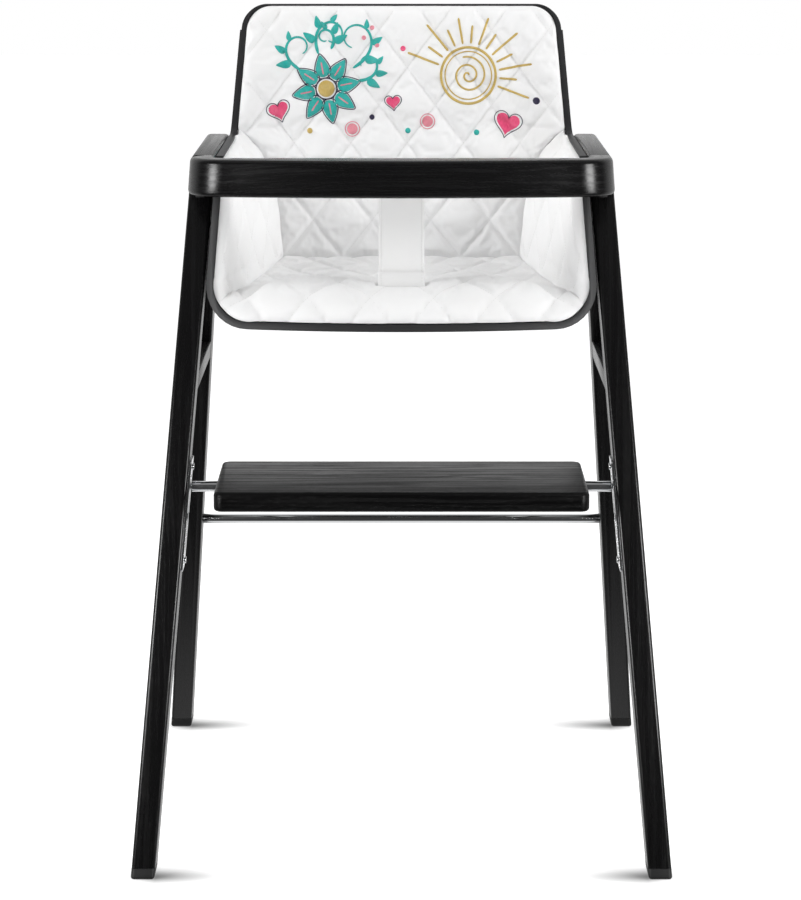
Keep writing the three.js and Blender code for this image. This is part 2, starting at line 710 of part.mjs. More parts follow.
function footrestRodGeometry() {
  const rod = cylinder(ROD_RADIUS, [-FOOTREST_ROD_HALF, footrestRodY, FOOTREST_Z],
    [FOOTREST_ROD_HALF, footrestRodY, FOOTREST_Z], 24);
  const bores = SIDES.map(([, side]) => cylinder(FOOTREST_PIN_RADIUS + SLEEVE,
    [side * (FOOTREST_ROD_HALF - PIN_IN_ROD - GAP), footrestRodY, FOOTREST_Z],
    [side * (FOOTREST_ROD_HALF + 5), footrestRodY, FOOTREST_Z]));
  return cut(rod, ...bores);
}

function footrestBoardGeometry() {
  const plan = roundedRect(BOARD_LENGTH, BOARD_DEPTH, BOARD_CORNER);
  const low = FOOTREST_Z - BOARD_HEIGHT / 2;
  const board = upright(plan, low, low + BOARD_HEIGHT, { edge: BOARD_EDGE, curveSegments: 6 });
  board.translate(0, BOARD_CENTRE_Y, 0);
  const rod = cylinder(ROD_RADIUS + SLEEVE, [-300, footrestRodY, FOOTREST_Z],
    [300, footrestRodY, FOOTREST_Z], 24);
  const screws = SIDES.map(([, side]) => setScrew(side, SET_SCREW.radius + SLEEVE, 3));
  return cut(board, rod, ...screws);
}

function setScrew(side, radius, slack) {
  const x = side * SET_SCREW.x;
  return cylinder(radius, [x, footrestRodY, SET_SCREW.low - slack],
    [x, footrestRodY, SET_SCREW.high + slack], 12);
}

function guidePlateGeometry(side) {
  const shape = roundedRect(PLATE_WIDTH, PLATE_TOP - PLATE_BOTTOM, 4);
  const face = LEG_INNER_AT_FLOOR - GAP;
  const ends = [side * (face - PLATE_THICKNESS), side * face].sort((a, b) => a - b);
  const plate = crosswise(shape, ...ends);
  plate.translate(0, frontLegY(0), (PLATE_TOP + PLATE_BOTTOM) / 2);
  const holes = plateScrewPlaces(side).map(([x, y, z]) =>
    cylinder(PLATE_SCREW.shankRadius + SLEEVE, [x - side * 8, y, z], [x + side * 8, y, z], 12));
  return cut(leaned(plate, side, LEAN_ALONG), footrestSlot(side, SLOT_WIDTH, face - 6, face + 6),
    ...holes);
}

// A pan-head screw standing square on the leaning plate.
function plateScrewGeometry(side, [x, y, z]) {
  const inward = new THREE.Vector3(-side, 0, -LEAN_IN).normalize();
  const seat = new THREE.Vector3(x, y, z).addScaledVector(inward, PLATE_THICKNESS + 2 * GAP);
  const headTop = seat.clone().addScaledVector(inward, PLATE_SCREW.headHeight);
  const tip = new THREE.Vector3(x + side * PLATE_SCREW.depth, y, z);
  const shankTop = new THREE.Vector3(seat.x + inward.x, y, z);
  const head = cylinder(PLATE_SCREW.headRadius, seat.toArray(), headTop.toArray(), 12);
  return join(head, cylinder(PLATE_SCREW.shankRadius, shankTop.toArray(), tip.toArray(), 12));
}

add('footrest_board', footrestBoardGeometry(), blackWood);
add('footrest_rod', footrestRodGeometry(), chrome);
for (const [hand, side] of SIDES) {
  add(`${hand}_footrest_pin`, cylinder(FOOTREST_PIN_RADIUS,
    [side * (FOOTREST_ROD_HALF - PIN_IN_ROD), footrestRodY, FOOTREST_Z],
    [side * FOOTREST_PIN_END, footrestRodY, FOOTREST_Z]), steel);
  add(`${hand}_footrest_set_screw`, setScrew(side, SET_SCREW.radius, 0), steel);
  add(`${hand}_guide_plate`, guidePlateGeometry(side), chrome);
  plateScrewPlaces(side).forEach((place, i) => {
    const end = i === 0 ? 'lower' : 'upper';
    add(`${hand}_guide_plate_${end}_screw`, plateScrewGeometry(side, place), chrome);
  });
}

// ---------- rear rod ----------

const rearRodHalf = legInnerX(REAR_ROD_Z) + REAR_ROD_SOCKET;
add('rear_rod', cylinder(ROD_RADIUS, [-rearRodHalf, rearRodY, REAR_ROD_Z],
  [rearRodHalf, rearRodY, REAR_ROD_Z], 24), chrome);

export default group;
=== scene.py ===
"""Looks for the baby high chair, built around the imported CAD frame.

Metres, +Z up, the sitter faces -Y. CAD nodes keep their shape: each hard one is shown through a
polished copy with eased edges. The padded liner, the strap and the embroidery are made here.
"""
import json
import math

import bpy
import bmesh
import numpy as np
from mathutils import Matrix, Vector
from mathutils.bvhtree import BVHTree

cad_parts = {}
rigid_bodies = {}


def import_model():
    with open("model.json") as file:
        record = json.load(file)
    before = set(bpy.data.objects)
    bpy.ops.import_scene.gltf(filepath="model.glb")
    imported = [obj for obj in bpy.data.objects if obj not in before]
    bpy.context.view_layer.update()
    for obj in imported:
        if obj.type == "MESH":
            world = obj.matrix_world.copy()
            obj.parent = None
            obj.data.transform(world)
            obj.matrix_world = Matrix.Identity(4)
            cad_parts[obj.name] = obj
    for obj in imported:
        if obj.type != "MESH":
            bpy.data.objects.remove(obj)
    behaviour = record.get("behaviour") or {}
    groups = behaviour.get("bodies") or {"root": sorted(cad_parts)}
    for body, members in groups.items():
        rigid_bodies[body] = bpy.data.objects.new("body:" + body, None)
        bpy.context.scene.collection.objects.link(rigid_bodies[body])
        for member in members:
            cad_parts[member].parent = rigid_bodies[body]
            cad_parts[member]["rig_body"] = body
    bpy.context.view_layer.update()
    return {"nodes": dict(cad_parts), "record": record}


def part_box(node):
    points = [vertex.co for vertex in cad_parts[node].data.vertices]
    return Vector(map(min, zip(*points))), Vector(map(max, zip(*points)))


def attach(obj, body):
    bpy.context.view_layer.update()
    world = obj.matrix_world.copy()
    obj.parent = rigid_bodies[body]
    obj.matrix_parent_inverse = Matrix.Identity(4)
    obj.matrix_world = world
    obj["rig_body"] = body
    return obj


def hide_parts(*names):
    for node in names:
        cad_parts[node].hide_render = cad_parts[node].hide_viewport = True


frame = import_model()

# ---------- the frame's own measures ----------

LEAN_IN = 0.0805           # the side frames and the tub lean in by this much per metre of height
LEG_LEAN = 0.30            # fore-and-aft lean of the legs
BACK_RECLINE = 0.29
WALL = 0.008               # tub wall
REVEAL = 0.0025            # how far the liner's edge stays below the tub's rim

SHELL_LOW, SHELL_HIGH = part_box("seat_shell")
ARM_LOW, ARM_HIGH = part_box("left_armrest")
BAR_LOW, BAR_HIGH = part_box("bumper_bar")
STRAP_LOW, STRAP_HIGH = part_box("crotch_strap")

FLOOR_Z = SHELL_LOW.z + WALL              # inner floor of the tub
SEAT_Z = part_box("seat_pad")[1].z          # top of the seat cushion
ARM_Z = ARM_HIGH.z
HEAD_Z = SHELL_HIGH.z
LIP_Y = SHELL_LOW.y                       # front lip on the centre line
LIP_BOW = 0.029                           # how far the lip bows forwards over LIP_HALF
LIP_HALF = 0.208
LIP_RISE = 0.212                          # how far the tub's front leans back as it rises
FLOOR_RADIUS = 0.050 - WALL
OUTER_HALF_AT_FLOOR = 0.2712              # the tub's half width, carried down to the floor


def inner_half(z):
    """Half the tub's inside width at height z."""
    return OUTER_HALF_AT_FLOOR - WALL - LEAN_IN * z


def lip_y(x, z):
    """The tub's front edge: a bow across, leaning back as it rises."""
    return LIP_Y + LIP_BOW * (x / LIP_HALF) ** 2 + LIP_RISE * (z - SHELL_LOW.z)


# ---------- small tools ----------

def smooth(t):
    t = np.clip(t, 0.0, 1.0)
    return t * t * (3 - 2 * t)


def lerp(a, b, t):
    return a + (b - a) * t


def new_object(name, mesh):
    obj = bpy.data.objects.new(name, mesh)
    bpy.context.scene.collection.objects.link(obj)
    return obj


def mesh_object(name, verts, faces):
    mesh = bpy.data.meshes.new(name)
    mesh.from_pydata([tuple(v) for v in verts], [], [tuple(f) for f in faces])
    mesh.validate()
    return new_object(name, mesh)


def coords(mesh):
    out = np.empty(len(mesh.vertices) * 3, np.float32)
    mesh.vertices.foreach_get("co", out)
    return out.reshape(-1, 3).astype(float)


def set_attribute(mesh, name, values):
    """A per-point vector that a material reads."""
    layer = mesh.attributes.new(name, "FLOAT_VECTOR", "POINT")
    layer.data.foreach_set("vector", np.asarray(values, np.float32).ravel())


def apply_modifiers(obj):
    depsgraph = bpy.context.evaluated_depsgraph_get()
    final = bpy.data.meshes.new_from_object(obj.evaluated_get(depsgraph))
    final.name = obj.name
    old = obj.data
    obj.modifiers.clear()
    obj.data = final
    bpy.data.meshes.remove(old)


def shade(obj, angle=None):
    obj.data.shade_smooth()
    if angle is not None:
        obj.data.set_sharp_from_angle(angle=math.radians(angle))


def dress(obj, look, angle=None):
    """Smooths a made piece, gives it its material, and puts it on the chair."""
    shade(obj, angle)
    obj.data.materials.append(MATERIALS[look])
    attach(obj, "chair")


# ---------- materials ----------

class Nodes:
    """Short names for building a node tree."""

    def __init__(self, name):
        self.material = bpy.data.materials.new(name)
        self.material.use_nodes = True
        self.tree = self.material.node_tree
        self.shader = self.tree.nodes["Principled BSDF"]

    def add(self, kind, **settings):
        node = self.tree.nodes.new(kind)
        for key, value in settings.items():
            setattr(node, key, value)
        return node

    def link(self, a, b):
        self.tree.links.new(a, b)

    def values(self, **sockets):
        for key, value in sockets.items():
            self.shader.inputs[key.replace("_", " ")].default_value = value

    def feed(self, **sockets):
        for key, source in sockets.items():
            self.link(source, self.shader.inputs[key.replace("_", " ")])

    def noise(self, vector, scale, detail=4.0, roughness=0.55):
        node = self.add("ShaderNodeTexNoise")
        node.inputs["Scale"].default_value = scale
        node.inputs["Detail"].default_value = detail
        node.inputs["Roughness"].default_value = roughness
        self.link(vector, node.inputs["Vector"])
        return node.outputs["Fac"]

    def stretch(self, vector, scale):
        node = self.add("ShaderNodeMapping")
        node.inputs["Scale"].default_value = scale
        self.link(vector, node.inputs["Vector"])
        return node.outputs["Vector"]

    def math(self, operation, a, b=None):
        node = self.add("ShaderNodeMath", operation=operation)
        for socket, value in zip(node.inputs, (a, b)):
            if value is None:
                continue
            if isinstance(value, (int, float)):
                socket.default_value = value
            else:
                self.link(value, socket)
        return node.outputs[0]

    def remap(self, value, low, high, to_low=0.0, to_high=1.0):
        node = self.add("ShaderNodeMapRange")
        for key, number in zip(range(1, 5), (low, high, to_low, to_high)):
            node.inputs[key].default_value = number
        self.link(value, node.inputs[0])
        return node.outputs[0]

    def mix(self, factor, a, b):
        node = self.add("ShaderNodeMix", data_type="RGBA")
        self.link(factor, node.inputs["Factor"])
        for socket, value in ((node.inputs[6], a), (node.inputs[7], b)):
            if isinstance(value, tuple):
                socket.default_value = (*value, 1.0)
            else:
                self.link(value, socket)
        return node.outputs[2]

    def bump(self, height, distance, strength):
        node = self.add("ShaderNodeBump")
        node.inputs["Strength"].default_value = strength
        node.inputs["Distance"].default_value = distance
        self.link(height, node.inputs["Height"])
        return node.outputs["Normal"]

    def attribute(self, name):
        return self.add("ShaderNodeAttribute", attribute_name=name).outputs["Vector"]

    def place(self):
        return self.add("ShaderNodeTexCoord").outputs["Object"]


def black_wood(name, gloss, spread, relief_depth, shine, pale):
    """Open-grain wood, stained black under a satin lacquer. The grain runs along `grain`'s X."""
    n = Nodes(name)
    grain = n.attribute("grain")
    wander = n.noise(n.stretch(grain, (2.2, 9.0, 9.0)), 1.0, 2.0)
    bent = n.add("ShaderNodeVectorMath", operation="MULTIPLY_ADD")
    n.link(wander, bent.inputs[0])
    bent.inputs[1].default_value = (0.0, 0.030, 0.030)
    n.link(grain, bent.inputs[2])
    rings = n.noise(n.stretch(bent.outputs[0], (3.0, 210.0, 210.0)), 1.0, 3.0, 0.6)
    pores = n.noise(n.stretch(bent.outputs[0], (70.0, 1900.0, 1900.0)), 1.0, 2.0, 0.5)
    early = n.remap(rings, 0.42, 0.62)
    pits = n.math("MULTIPLY", n.remap(pores, 0.56, 0.70), n.remap(early, 0.0, 1.0, 0.35, 1.0))
    dark, light = (tuple(c * pale for c in tone)
                   for tone in ((0.0022, 0.0021, 0.0024), (0.0052, 0.0049, 0.0053)))
    base = n.mix(rings, dark, light)
    n.feed(Base_Color=n.mix(pits, base, (0.0014, 0.0013, 0.0015)))
    sheen = n.math("ADD", n.remap(early, 0.0, 1.0, gloss, gloss + spread),
                   n.math("MULTIPLY", pits, 0.12))
    n.feed(Roughness=sheen)
    relief = n.math("SUBTRACT", n.math("MULTIPLY", early, -0.35), pits)
    n.feed(Normal=n.bump(relief, relief_depth, 0.5))
    n.values(IOR=1.5, Specular_IOR_Level=shine)
    return n.material


def polished_chrome():
    n = Nodes("chrome")
    n.values(Metallic=1.0, Roughness=0.08, Base_Color=(0.80, 0.81, 0.825, 1.0))
    return n.material


def zinc_steel():
    n = Nodes("zinc_steel")
    brushed = n.noise(n.stretch(n.place(), (400.0, 60.0, 400.0)), 1.0, 3.0)
    n.feed(Roughness=n.remap(brushed, 0.3, 0.7, 0.24, 0.42))
    n.feed(Base_Color=n.mix(brushed, (0.42, 0.43, 0.45), (0.58, 0.59, 0.60)))
    n.feed(Normal=n.bump(brushed, 0.00003, 0.4))
    n.values(Metallic=1.0)
    return n.material


def moulded(name, colour, roughness, grain_size):
    """Moulded plastic with a fine spark-eroded grain."""
    n = Nodes(name)
    fine = n.noise(n.place(), 1.0 / grain_size, 3.0)
    broad = n.noise(n.place(), 14.0, 2.0)
    light = tuple(c * 1.25 for c in colour)
    n.feed(Base_Color=n.mix(broad, colour, light))
    n.feed(Roughness=n.remap(fine, 0.3, 0.7, roughness - 0.05, roughness + 0.07))
    n.feed(Normal=n.bump(fine, 0.00006, 0.5))
    n.values(Specular_IOR_Level=0.30)
    return n.material


def plain_beech():
    n = Nodes("beech")
    grain = n.noise(n.stretch(n.place(), (300.0, 300.0, 30.0)), 1.0, 3.0)
    n.feed(Base_Color=n.mix(grain, (0.46, 0.31, 0.17), (0.62, 0.45, 0.27)))
    n.feed(Normal=n.bump(grain, 0.0001, 0.4))
    n.values(Roughness=0.62)
    return n.material


def sewing_thread():
    """Twisted glossy thread."""
    n = Nodes("thread")
    twist = n.noise(n.stretch(n.place(), (1400.0, 1400.0, 1400.0)), 1.0, 2.0)
    colour = (0.80, 0.80, 0.79)
    n.feed(Base_Color=n.mix(twist, tuple(c * 0.82 for c in colour), colour))
    n.feed(Normal=n.bump(twist, 0.00005, 0.5))
    n.values(Roughness=0.45)
    return n.material


def white_leather(name, colour=(0.885, 0.885, 0.888)):
    """Coated cloth: a leather grain under a slightly uneven gloss."""
    n = Nodes(name)
    place = n.place()
    cells = n.add("ShaderNodeTexVoronoi", feature="DISTANCE_TO_EDGE")
    cells.inputs["Scale"].default_value = 760.0
    n.link(place, cells.inputs["Vector"])
    creases = n.remap(cells.outputs["Distance"], 0.0, 0.28)
    pebble = n.noise(place, 420.0, 3.0)
    soft = n.noise(place, 9.0, 2.0)
    warm = tuple(c * f for c, f in zip(colour, (0.985, 0.983, 0.978)))
    n.feed(Base_Color=n.mix(n.remap(soft, 0.35, 0.7), colour, warm))
    n.feed(Roughness=n.remap(pebble, 0.3, 0.7, 0.50, 0.62))
    n.values(Specular_IOR_Level=0.30)
    grain = n.math("ADD", n.math("MULTIPLY", creases, 0.6), n.math("MULTIPLY", pebble, 0.4))
    n.feed(Normal=n.bump(grain, 0.00009, 0.5))
    return n.material


MATERIALS = {
    "black_wood": black_wood("black_wood", 0.24, 0.06, 0.00004, 0.42, 0.8),
    "footrest_wood": black_wood("footrest_wood", 0.28, 0.20, 0.00026, 0.16, 0.5),
    "chrome": polished_chrome(),
    "steel": zinc_steel(),
    "shell_plastic": moulded("shell_plastic", (0.018, 0.018, 0.019), 0.46, 0.0006),
    "black_plastic": moulded("black_plastic", (0.010, 0.010, 0.0105), 0.52, 0.0008),
    "dowel_wood": plain_beech(),
    "thread": sewing_thread(),
    "white_liner": white_leather("white_liner"),
    "strap_webbing": white_leather("strap_webbing", (0.94, 0.94, 0.94)),
}
SLOT_OF = {row["node"]: row["material_slot"] for row in frame["record"]["subparts"]}

for node, cad in frame["nodes"].items():
    cad.data.materials.clear()
    cad.data.materials.append(MATERIALS[SLOT_OF[node]])

# ---------- polished copies of the hard CAD nodes ----------

BAR_BEND = 0.030           # radius of the bar's bends on its middle line
BAR_HALF_DEPTH = 0.020


def grain_of(node, points):
    """Where each point sits in its board: X runs with the grain."""
    lean = LEG_LEAN if "front_leg" in node else -LEG_LEAN if "rear_leg" in node else None
    if node == "bumper_bar":
        return bent_bar_grain(points)
    if lean is not None:
        along = Vector((0.0, lean, 1.0)).normalized()
    elif "armrest" in node or "rail" in node:
        along = Vector((0.0, 1.0, 0.0))
    else:
        along = Vector((1.0, 0.0, 0.0))
    across = Vector((0.0, 0.0, 1.0)) if abs(along.z) < 0.5 else Vector((1.0, 0.0, 0.0))
    side = along.cross(across).normalized()
    across = side.cross(along)
    seed = sum(ord(c) for c in node) % 17
    turned = points @ np.array([along, across, side]).T
    return turned + np.array([seed * 0.37, seed * 0.11, 0.0])


def bent_bar_grain(points):
    """The bar is bent from one blank, so its grain follows the corners round."""
    half = BAR_HIGH.x - 0.5 * (ARM_HIGH.x - ARM_LOW.x)
    bend = BAR_BEND
    corner_y = BAR_LOW.y + BAR_HALF_DEPTH + bend
    x, y, z = points.T
    side = np.sign(x)
    dx = np.abs(x) - (half - bend)
    dy = corner_y - y
    turn = np.arctan2(np.maximum(dx, 1e-6), np.maximum(dy, 1e-6))
    front = dx <= 0
    arm = dy <= 0
    run = np.where(front, np.abs(x), np.where(arm, half - bend + bend * math.pi / 2 - dy,
                                              half - bend + bend * turn))
    depth = np.where(front, dy, np.where(arm, dx, np.hypot(dx, dy)))
    return np.stack([run * side, z, depth], 1)


def polish(node, ease=0.0006, angle=38):
    """A copy of a CAD node with merged points, eased edges and smooth fillets."""
    mesh = frame["nodes"][node].data.copy()
    obj = new_object(node + "_finish", mesh)
    bm = bmesh.new()
    bm.from_mesh(mesh)
    bmesh.ops.remove_doubles(bm, verts=bm.verts, dist=2e-6)
    bmesh.ops.dissolve_limit(bm, angle_limit=math.radians(0.3), verts=bm.verts, edges=bm.edges)
    bm.to_mesh(mesh)
    bm.free()
    bevel = obj.modifiers.new("ease", "BEVEL")
    bevel.width = ease
    bevel.segments = 2
    bevel.limit_method = "ANGLE"
    bevel.angle_limit = math.radians(angle)
    bevel.use_clamp_overlap = True
    apply_modifiers(obj)
    shade(obj, angle)
    if SLOT_OF[node] == "black_wood":
        set_attribute(obj.data, "grain", grain_of(node, coords(obj.data)))
    obj.data.materials.clear()
    look = "footrest_wood" if node == "footrest_board" else SLOT_OF[node]
    obj.data.materials.append(MATERIALS[look])
    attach(obj, frame["nodes"][node]["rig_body"])
    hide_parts(node)


SOFT_NODES = ("seat_pad", "backrest_pad", "left_side_pad", "right_side_pad", "crotch_strap")
HIDDEN_WORDS = ("dowel", "bar_pin", "footrest_pin", "seat_bolt", "anchor_rod")

for node in sorted(frame["nodes"]):
    if node in SOFT_NODES or any(word in node for word in HIDDEN_WORDS):
        continue
    if node == "seat_shell":
        polish(node, ease=0.0018, angle=42)
    else:
        polish(node)

# ---------- the padded liner ----------

STEP = 0.0025              # grid of a cushion's face
COVER = 0.005              # how deep a cushion's closed body goes behind its face
PUFF = 0.0046              # how high a diamond stands over its seams
PLY = 0.0015               # slack between a cushion and the tub
DIAMOND = (0.0705, 0.0925)  # across and along, from crossing to crossing
GROOVE = 0.0036            # half width of a sewn line's dip
CLOTH_CAP = 0.0028         # the most that the cloth may move
CLOTH_FRAMES = 20


def quilt(p, q, diamond=DIAMOND):
    """Two families of sewn lines: each field is a whole number along one of its lines."""
    wide, tall = diamond
    return p / wide + q / tall, p / wide - q / tall


def quilted(fields, diamond=DIAMOND):
    """Height of the diamonds, 0 on the seams and 1 in the middle, and the way to a seam."""
    a, b = fields
    pillow = np.sqrt(np.abs(np.sin(np.pi * a) * np.sin(np.pi * b)))
    way = np.minimum(np.abs(a - np.round(a)), np.abs(b - np.round(b)))
    way = way / math.hypot(1 / diamond[0], 1 / diamond[1])
    groove = 1 - np.exp(-(way / GROOVE) ** 2)
    return 0.62 * pillow + 0.38 * groove, way


def run(length, start_roll, end_roll):
    """Shares of a length, close together where an edge rolls over; their count is odd."""
    turns = np.linspace(math.pi / 2, 0, 8)
    start = start_roll * (1 - np.sin(turns)) if start_roll else np.zeros(1)
    end = length - (end_roll * (1 - np.sin(turns)) if end_roll else np.zeros(1))[::-1]
    count = int(round((end[0] - start[-1]) / STEP)) + 1
    count += (len(start) + len(end) + count - 2 + 1) % 2
    middle = np.linspace(start[-1], end[0], count)
    return np.concatenate([start[:-1], middle, end[1:]]) / length


def roll_drop(way, radius):
    """How far a rolled edge has fallen back, from 0 at the face to 1 at the tub's wall."""
    t = np.clip(way / np.maximum(radius, 1e-6), 0, 1)
    return 1 - np.sqrt(np.clip(1 - (1 - t) ** 2, 0, 1))


def grid_normals(points):
    normal = np.cross(np.gradient(points, axis=1), np.gradient(points, axis=0))
    return normal / np.maximum(np.linalg.norm(normal, axis=2, keepdims=True), 1e-12)


def grid_faces(rows, columns):
    i, j = np.meshgrid(np.arange(rows - 1), np.arange(columns - 1), indexing="ij")
    a = (i * columns + j).ravel()
    return np.stack([a, a + 1, a + columns + 1, a + columns], 1)


def coons(low, high, start, end, u, v):
    """A surface between four edge lines: low and high run along u, start and end along v."""
    u = u[None, :, None]
    v = v[:, None, None]
    corners = ((1 - u) * (1 - v) * low[0] + u * (1 - v) * low[-1]
               + (1 - u) * v * high[0] + u * v * high[-1])
    between = (1 - v) * low[None] + v * high[None] + (1 - u) * start[:, None] + u * end[:, None]
    return between - corners


def inflate(points, held):
    """Cloth sewn down where it is held and blown up a little; returns how far it moved."""
    obj = mesh_object("cloth", points.reshape(-1, 3), grid_faces(*points.shape[:2]))
    group = obj.vertex_groups.new(name="held")
    weights = held.ravel()
    for index in np.nonzero(weights > 0.02)[0]:
        group.add([int(index)], float(min(weights[index], 1.0)), "REPLACE")
    cloth = obj.modifiers.new("cloth", "CLOTH")
    settings = cloth.settings
    settings.quality = 5
    settings.mass = 0.3
    settings.tension_stiffness = 14
    settings.compression_stiffness = 14
    settings.shear_stiffness = 5
    settings.bending_stiffness = 0.4
    settings.use_pressure = True
    settings.uniform_pressure_force = 2.4
    settings.shrink_min = -0.03
    settings.vertex_group_mass = "held"
    settings.effector_weights.gravity = 0
    cloth.collision_settings.use_collision = False
    for number in range(1, CLOTH_FRAMES + 1):
        bpy.context.scene.frame_set(number)
    final = obj.evaluated_get(bpy.context.evaluated_depsgraph_get()).data
    moved = coords(final).reshape(points.shape) - points
    bpy.context.scene.frame_set(1)
    bpy.data.objects.remove(obj)
    length = np.linalg.norm(moved, axis=2, keepdims=True)
    return moved * np.minimum(1, CLOTH_CAP / np.maximum(length, 1e-9))


def refined(coarse):
    """The same grid at twice the density."""
    rows, columns = coarse.shape[:2]
    fine = np.zeros((rows * 2 - 1, columns * 2 - 1, 3))
    fine[::2, ::2] = coarse
    fine[1::2, ::2] = (coarse[:-1] + coarse[1:]) / 2
    fine[:, 1::2] = (fine[:, :-2:2] + fine[:, 2::2]) / 2
    return fine


def sewn_lines(points, field, keep):
    """Where a field crosses whole numbers, row by row: one line of points and normals for each."""
    normals = grid_normals(points)
    lines = {}
    for row in range(points.shape[0]):
        values = field[row]
        low = np.floor(values)
        for column in np.nonzero(low[1:] != low[:-1])[0]:
            number = max(low[column], low[column + 1])
            share = (number - values[column]) / (values[column + 1] - values[column])
            if keep[row, column] < 0.5:
                continue
            lines.setdefault(number, []).append(np.concatenate([
                lerp(points[row, column], points[row, column + 1], share),
                lerp(normals[row, column], normals[row, column + 1], share)]))
    return [np.array(line) for line in lines.values() if len(line) > 4]


def thread_stitches(line, verts, faces, pitch=0.0040, length=0.0029, radius=0.00026):
    """Adds short raised stitches along a line of points and normals."""
    steps = np.linalg.norm(np.diff(line[:, :3], axis=0), axis=1)
    breaks = np.nonzero(steps > 0.012)[0]
    if len(breaks):
        cut = breaks[0] + 1
        thread_stitches(line[:cut], verts, faces, pitch, length, radius)
        thread_stitches(line[cut:], verts, faces, pitch, length, radius)
        return
    along = np.concatenate([[0], np.cumsum(steps)])
    for start in np.arange(pitch * 0.5, along[-1] - length, pitch):
        at = start + length * np.array([0.0, 0.18, 0.5, 0.82, 1.0])
        spot = np.stack([np.interp(at, along, line[:, k]) for k in range(6)], 1)
        normal = spot[2, 3:] / np.linalg.norm(spot[2, 3:])
        heading = spot[-1, :3] - spot[0, :3]
        heading /= max(np.linalg.norm(heading), 1e-9)
        side = np.cross(heading, normal)
        first = len(verts)
        for centre, swell, lift in zip(spot[:, :3], (0.25, 0.9, 1, 0.9, 0.25),
                                       (-0.6, 0.15, 0.4, 0.15, -0.6)):
            for turn in np.arange(5) * 2 * math.pi / 5:
                verts.append(centre + radius * (lift * normal + swell * (
                    math.cos(turn) * side + math.sin(turn) * normal)))
        for ring in range(4):
            for k in range(5):
                a, b = first + ring * 5 + k, first + ring * 5 + (k + 1) % 5
                faces.append((a, b, b + 5, a + 5))
        faces.append(tuple(first + k for k in (4, 3, 2, 1, 0)))
        faces.append(tuple(first + 20 + k for k in range(5)))


def stitches(name, lines, slot, **sizes):
    verts, faces = [], []
    for line in lines:
        thread_stitches(line, verts, faces, **sizes)
    dress(mesh_object(name, verts, faces), "thread")


def cushion(name, face, fields, way_and_height, fade, mirror=False, puff=PUFF):
    """One padded panel: quilted face, the cloth's own puckers, then a closed body behind it."""
    height, way = way_and_height
    shaped = face + grid_normals(face) * (puff * height * fade)[..., None]
    held = np.maximum(np.exp(-(way / 0.003) ** 2), 1 - smooth(fade * 1.4))
    held[[0, -1]] = 1
    held[:, [0, -1]] = 1
    moved = refined(inflate(shaped[::2, ::2], held[::2, ::2]))
    shaped = shaped + moved * smooth(fade * 1.3)[..., None]
    lines = [line for field, keep in fields for line in sewn_lines(shaped, field, keep)]
    if mirror:
        lines = [line * np.array([-1, 1, 1, -1, 1, 1]) for line in lines]
    stitches(name + "_stitches", lines, "white_liner")
    faces = grid_faces(*shaped.shape[:2])
    if mirror:
        shaped = shaped * np.array([-1, 1, 1])
        faces = faces[:, ::-1]
    obj = mesh_object(name, shaped.reshape(-1, 3), faces)
    solid = obj.modifiers.new("body", "SOLIDIFY")
    solid.thickness = COVER
    solid.offset = -1
    apply_modifiers(obj)
    dress(obj, "white_liner", 65)
    return obj


def softened(points, rounds=8):
    """Takes the corners out of a line and leaves its ends alone."""
    points = np.array(points, float)
    for _ in range(rounds):
        points[1:-1] = (points[:-2] + 2 * points[1:-1] + points[2:]) / 4
    return points


def with_soft_seam(edge):
    """The edge table again, its sewn part below EDGE_JOINT without corners."""
    heights = np.linspace(SEAT_Z, EDGE_JOINT, 40)
    seam = np.stack([heights] + [np.interp(heights, edge[:, 0], edge[:, k]) for k in (1, 2)], 1)
    return np.concatenate([softened(seam), edge[edge[:, 0] > EDGE_JOINT]])


# The back cushion's edge: height, half width, and how far back the edge stands.

CREASE = np.array([0.145, 0.1530, SEAT_Z])
EDGE_JOINT = 0.7835        # the back's edge is sewn to the side cushion below this height
BACK_EDGE = with_soft_seam(np.array([
    (SEAT_Z, 0.1450, 0.1530), (0.668, 0.1475, 0.1625), (0.704, 0.1520, 0.1720),
    (0.730, 0.1600, 0.1800), (0.750, 0.1680, 0.1845), (0.770, 0.1810, 0.1850),
    (0.7835, 0.1992, 0.1820), (0.790, 0.1991, 0.1835), (0.797, 0.1987, 0.1865),
    (0.810, 0.1976, 0.1908), (0.850, 0.1944, 0.2047), (HEAD_Z, 0.1876, 0.2340),
]))
SIDE_ROLL = 0.006
HEAD_ROLL = 0.012
HEAD_DROP = 0.0148
HEAD_CORNER = 0.027
LOW_DIAMOND = (0.0717, 0.0920)
HIGH_DIAMOND = (0.0690, 0.0935)
CURL = 0.048               # width of the strip that curls forwards along the edge
SEAM_LEVEL = 0.742         # a seam across the back, behind the bar
ROW_LEVEL = 0.767          # a row of crossings over that seam
BACK_WIDTH = 0.39
TUCK = 0.010               # how far the back cushion goes on down behind the seat


def back_face_y(z):
    return CREASE[1] + BACK_RECLINE * (z - SEAT_Z)


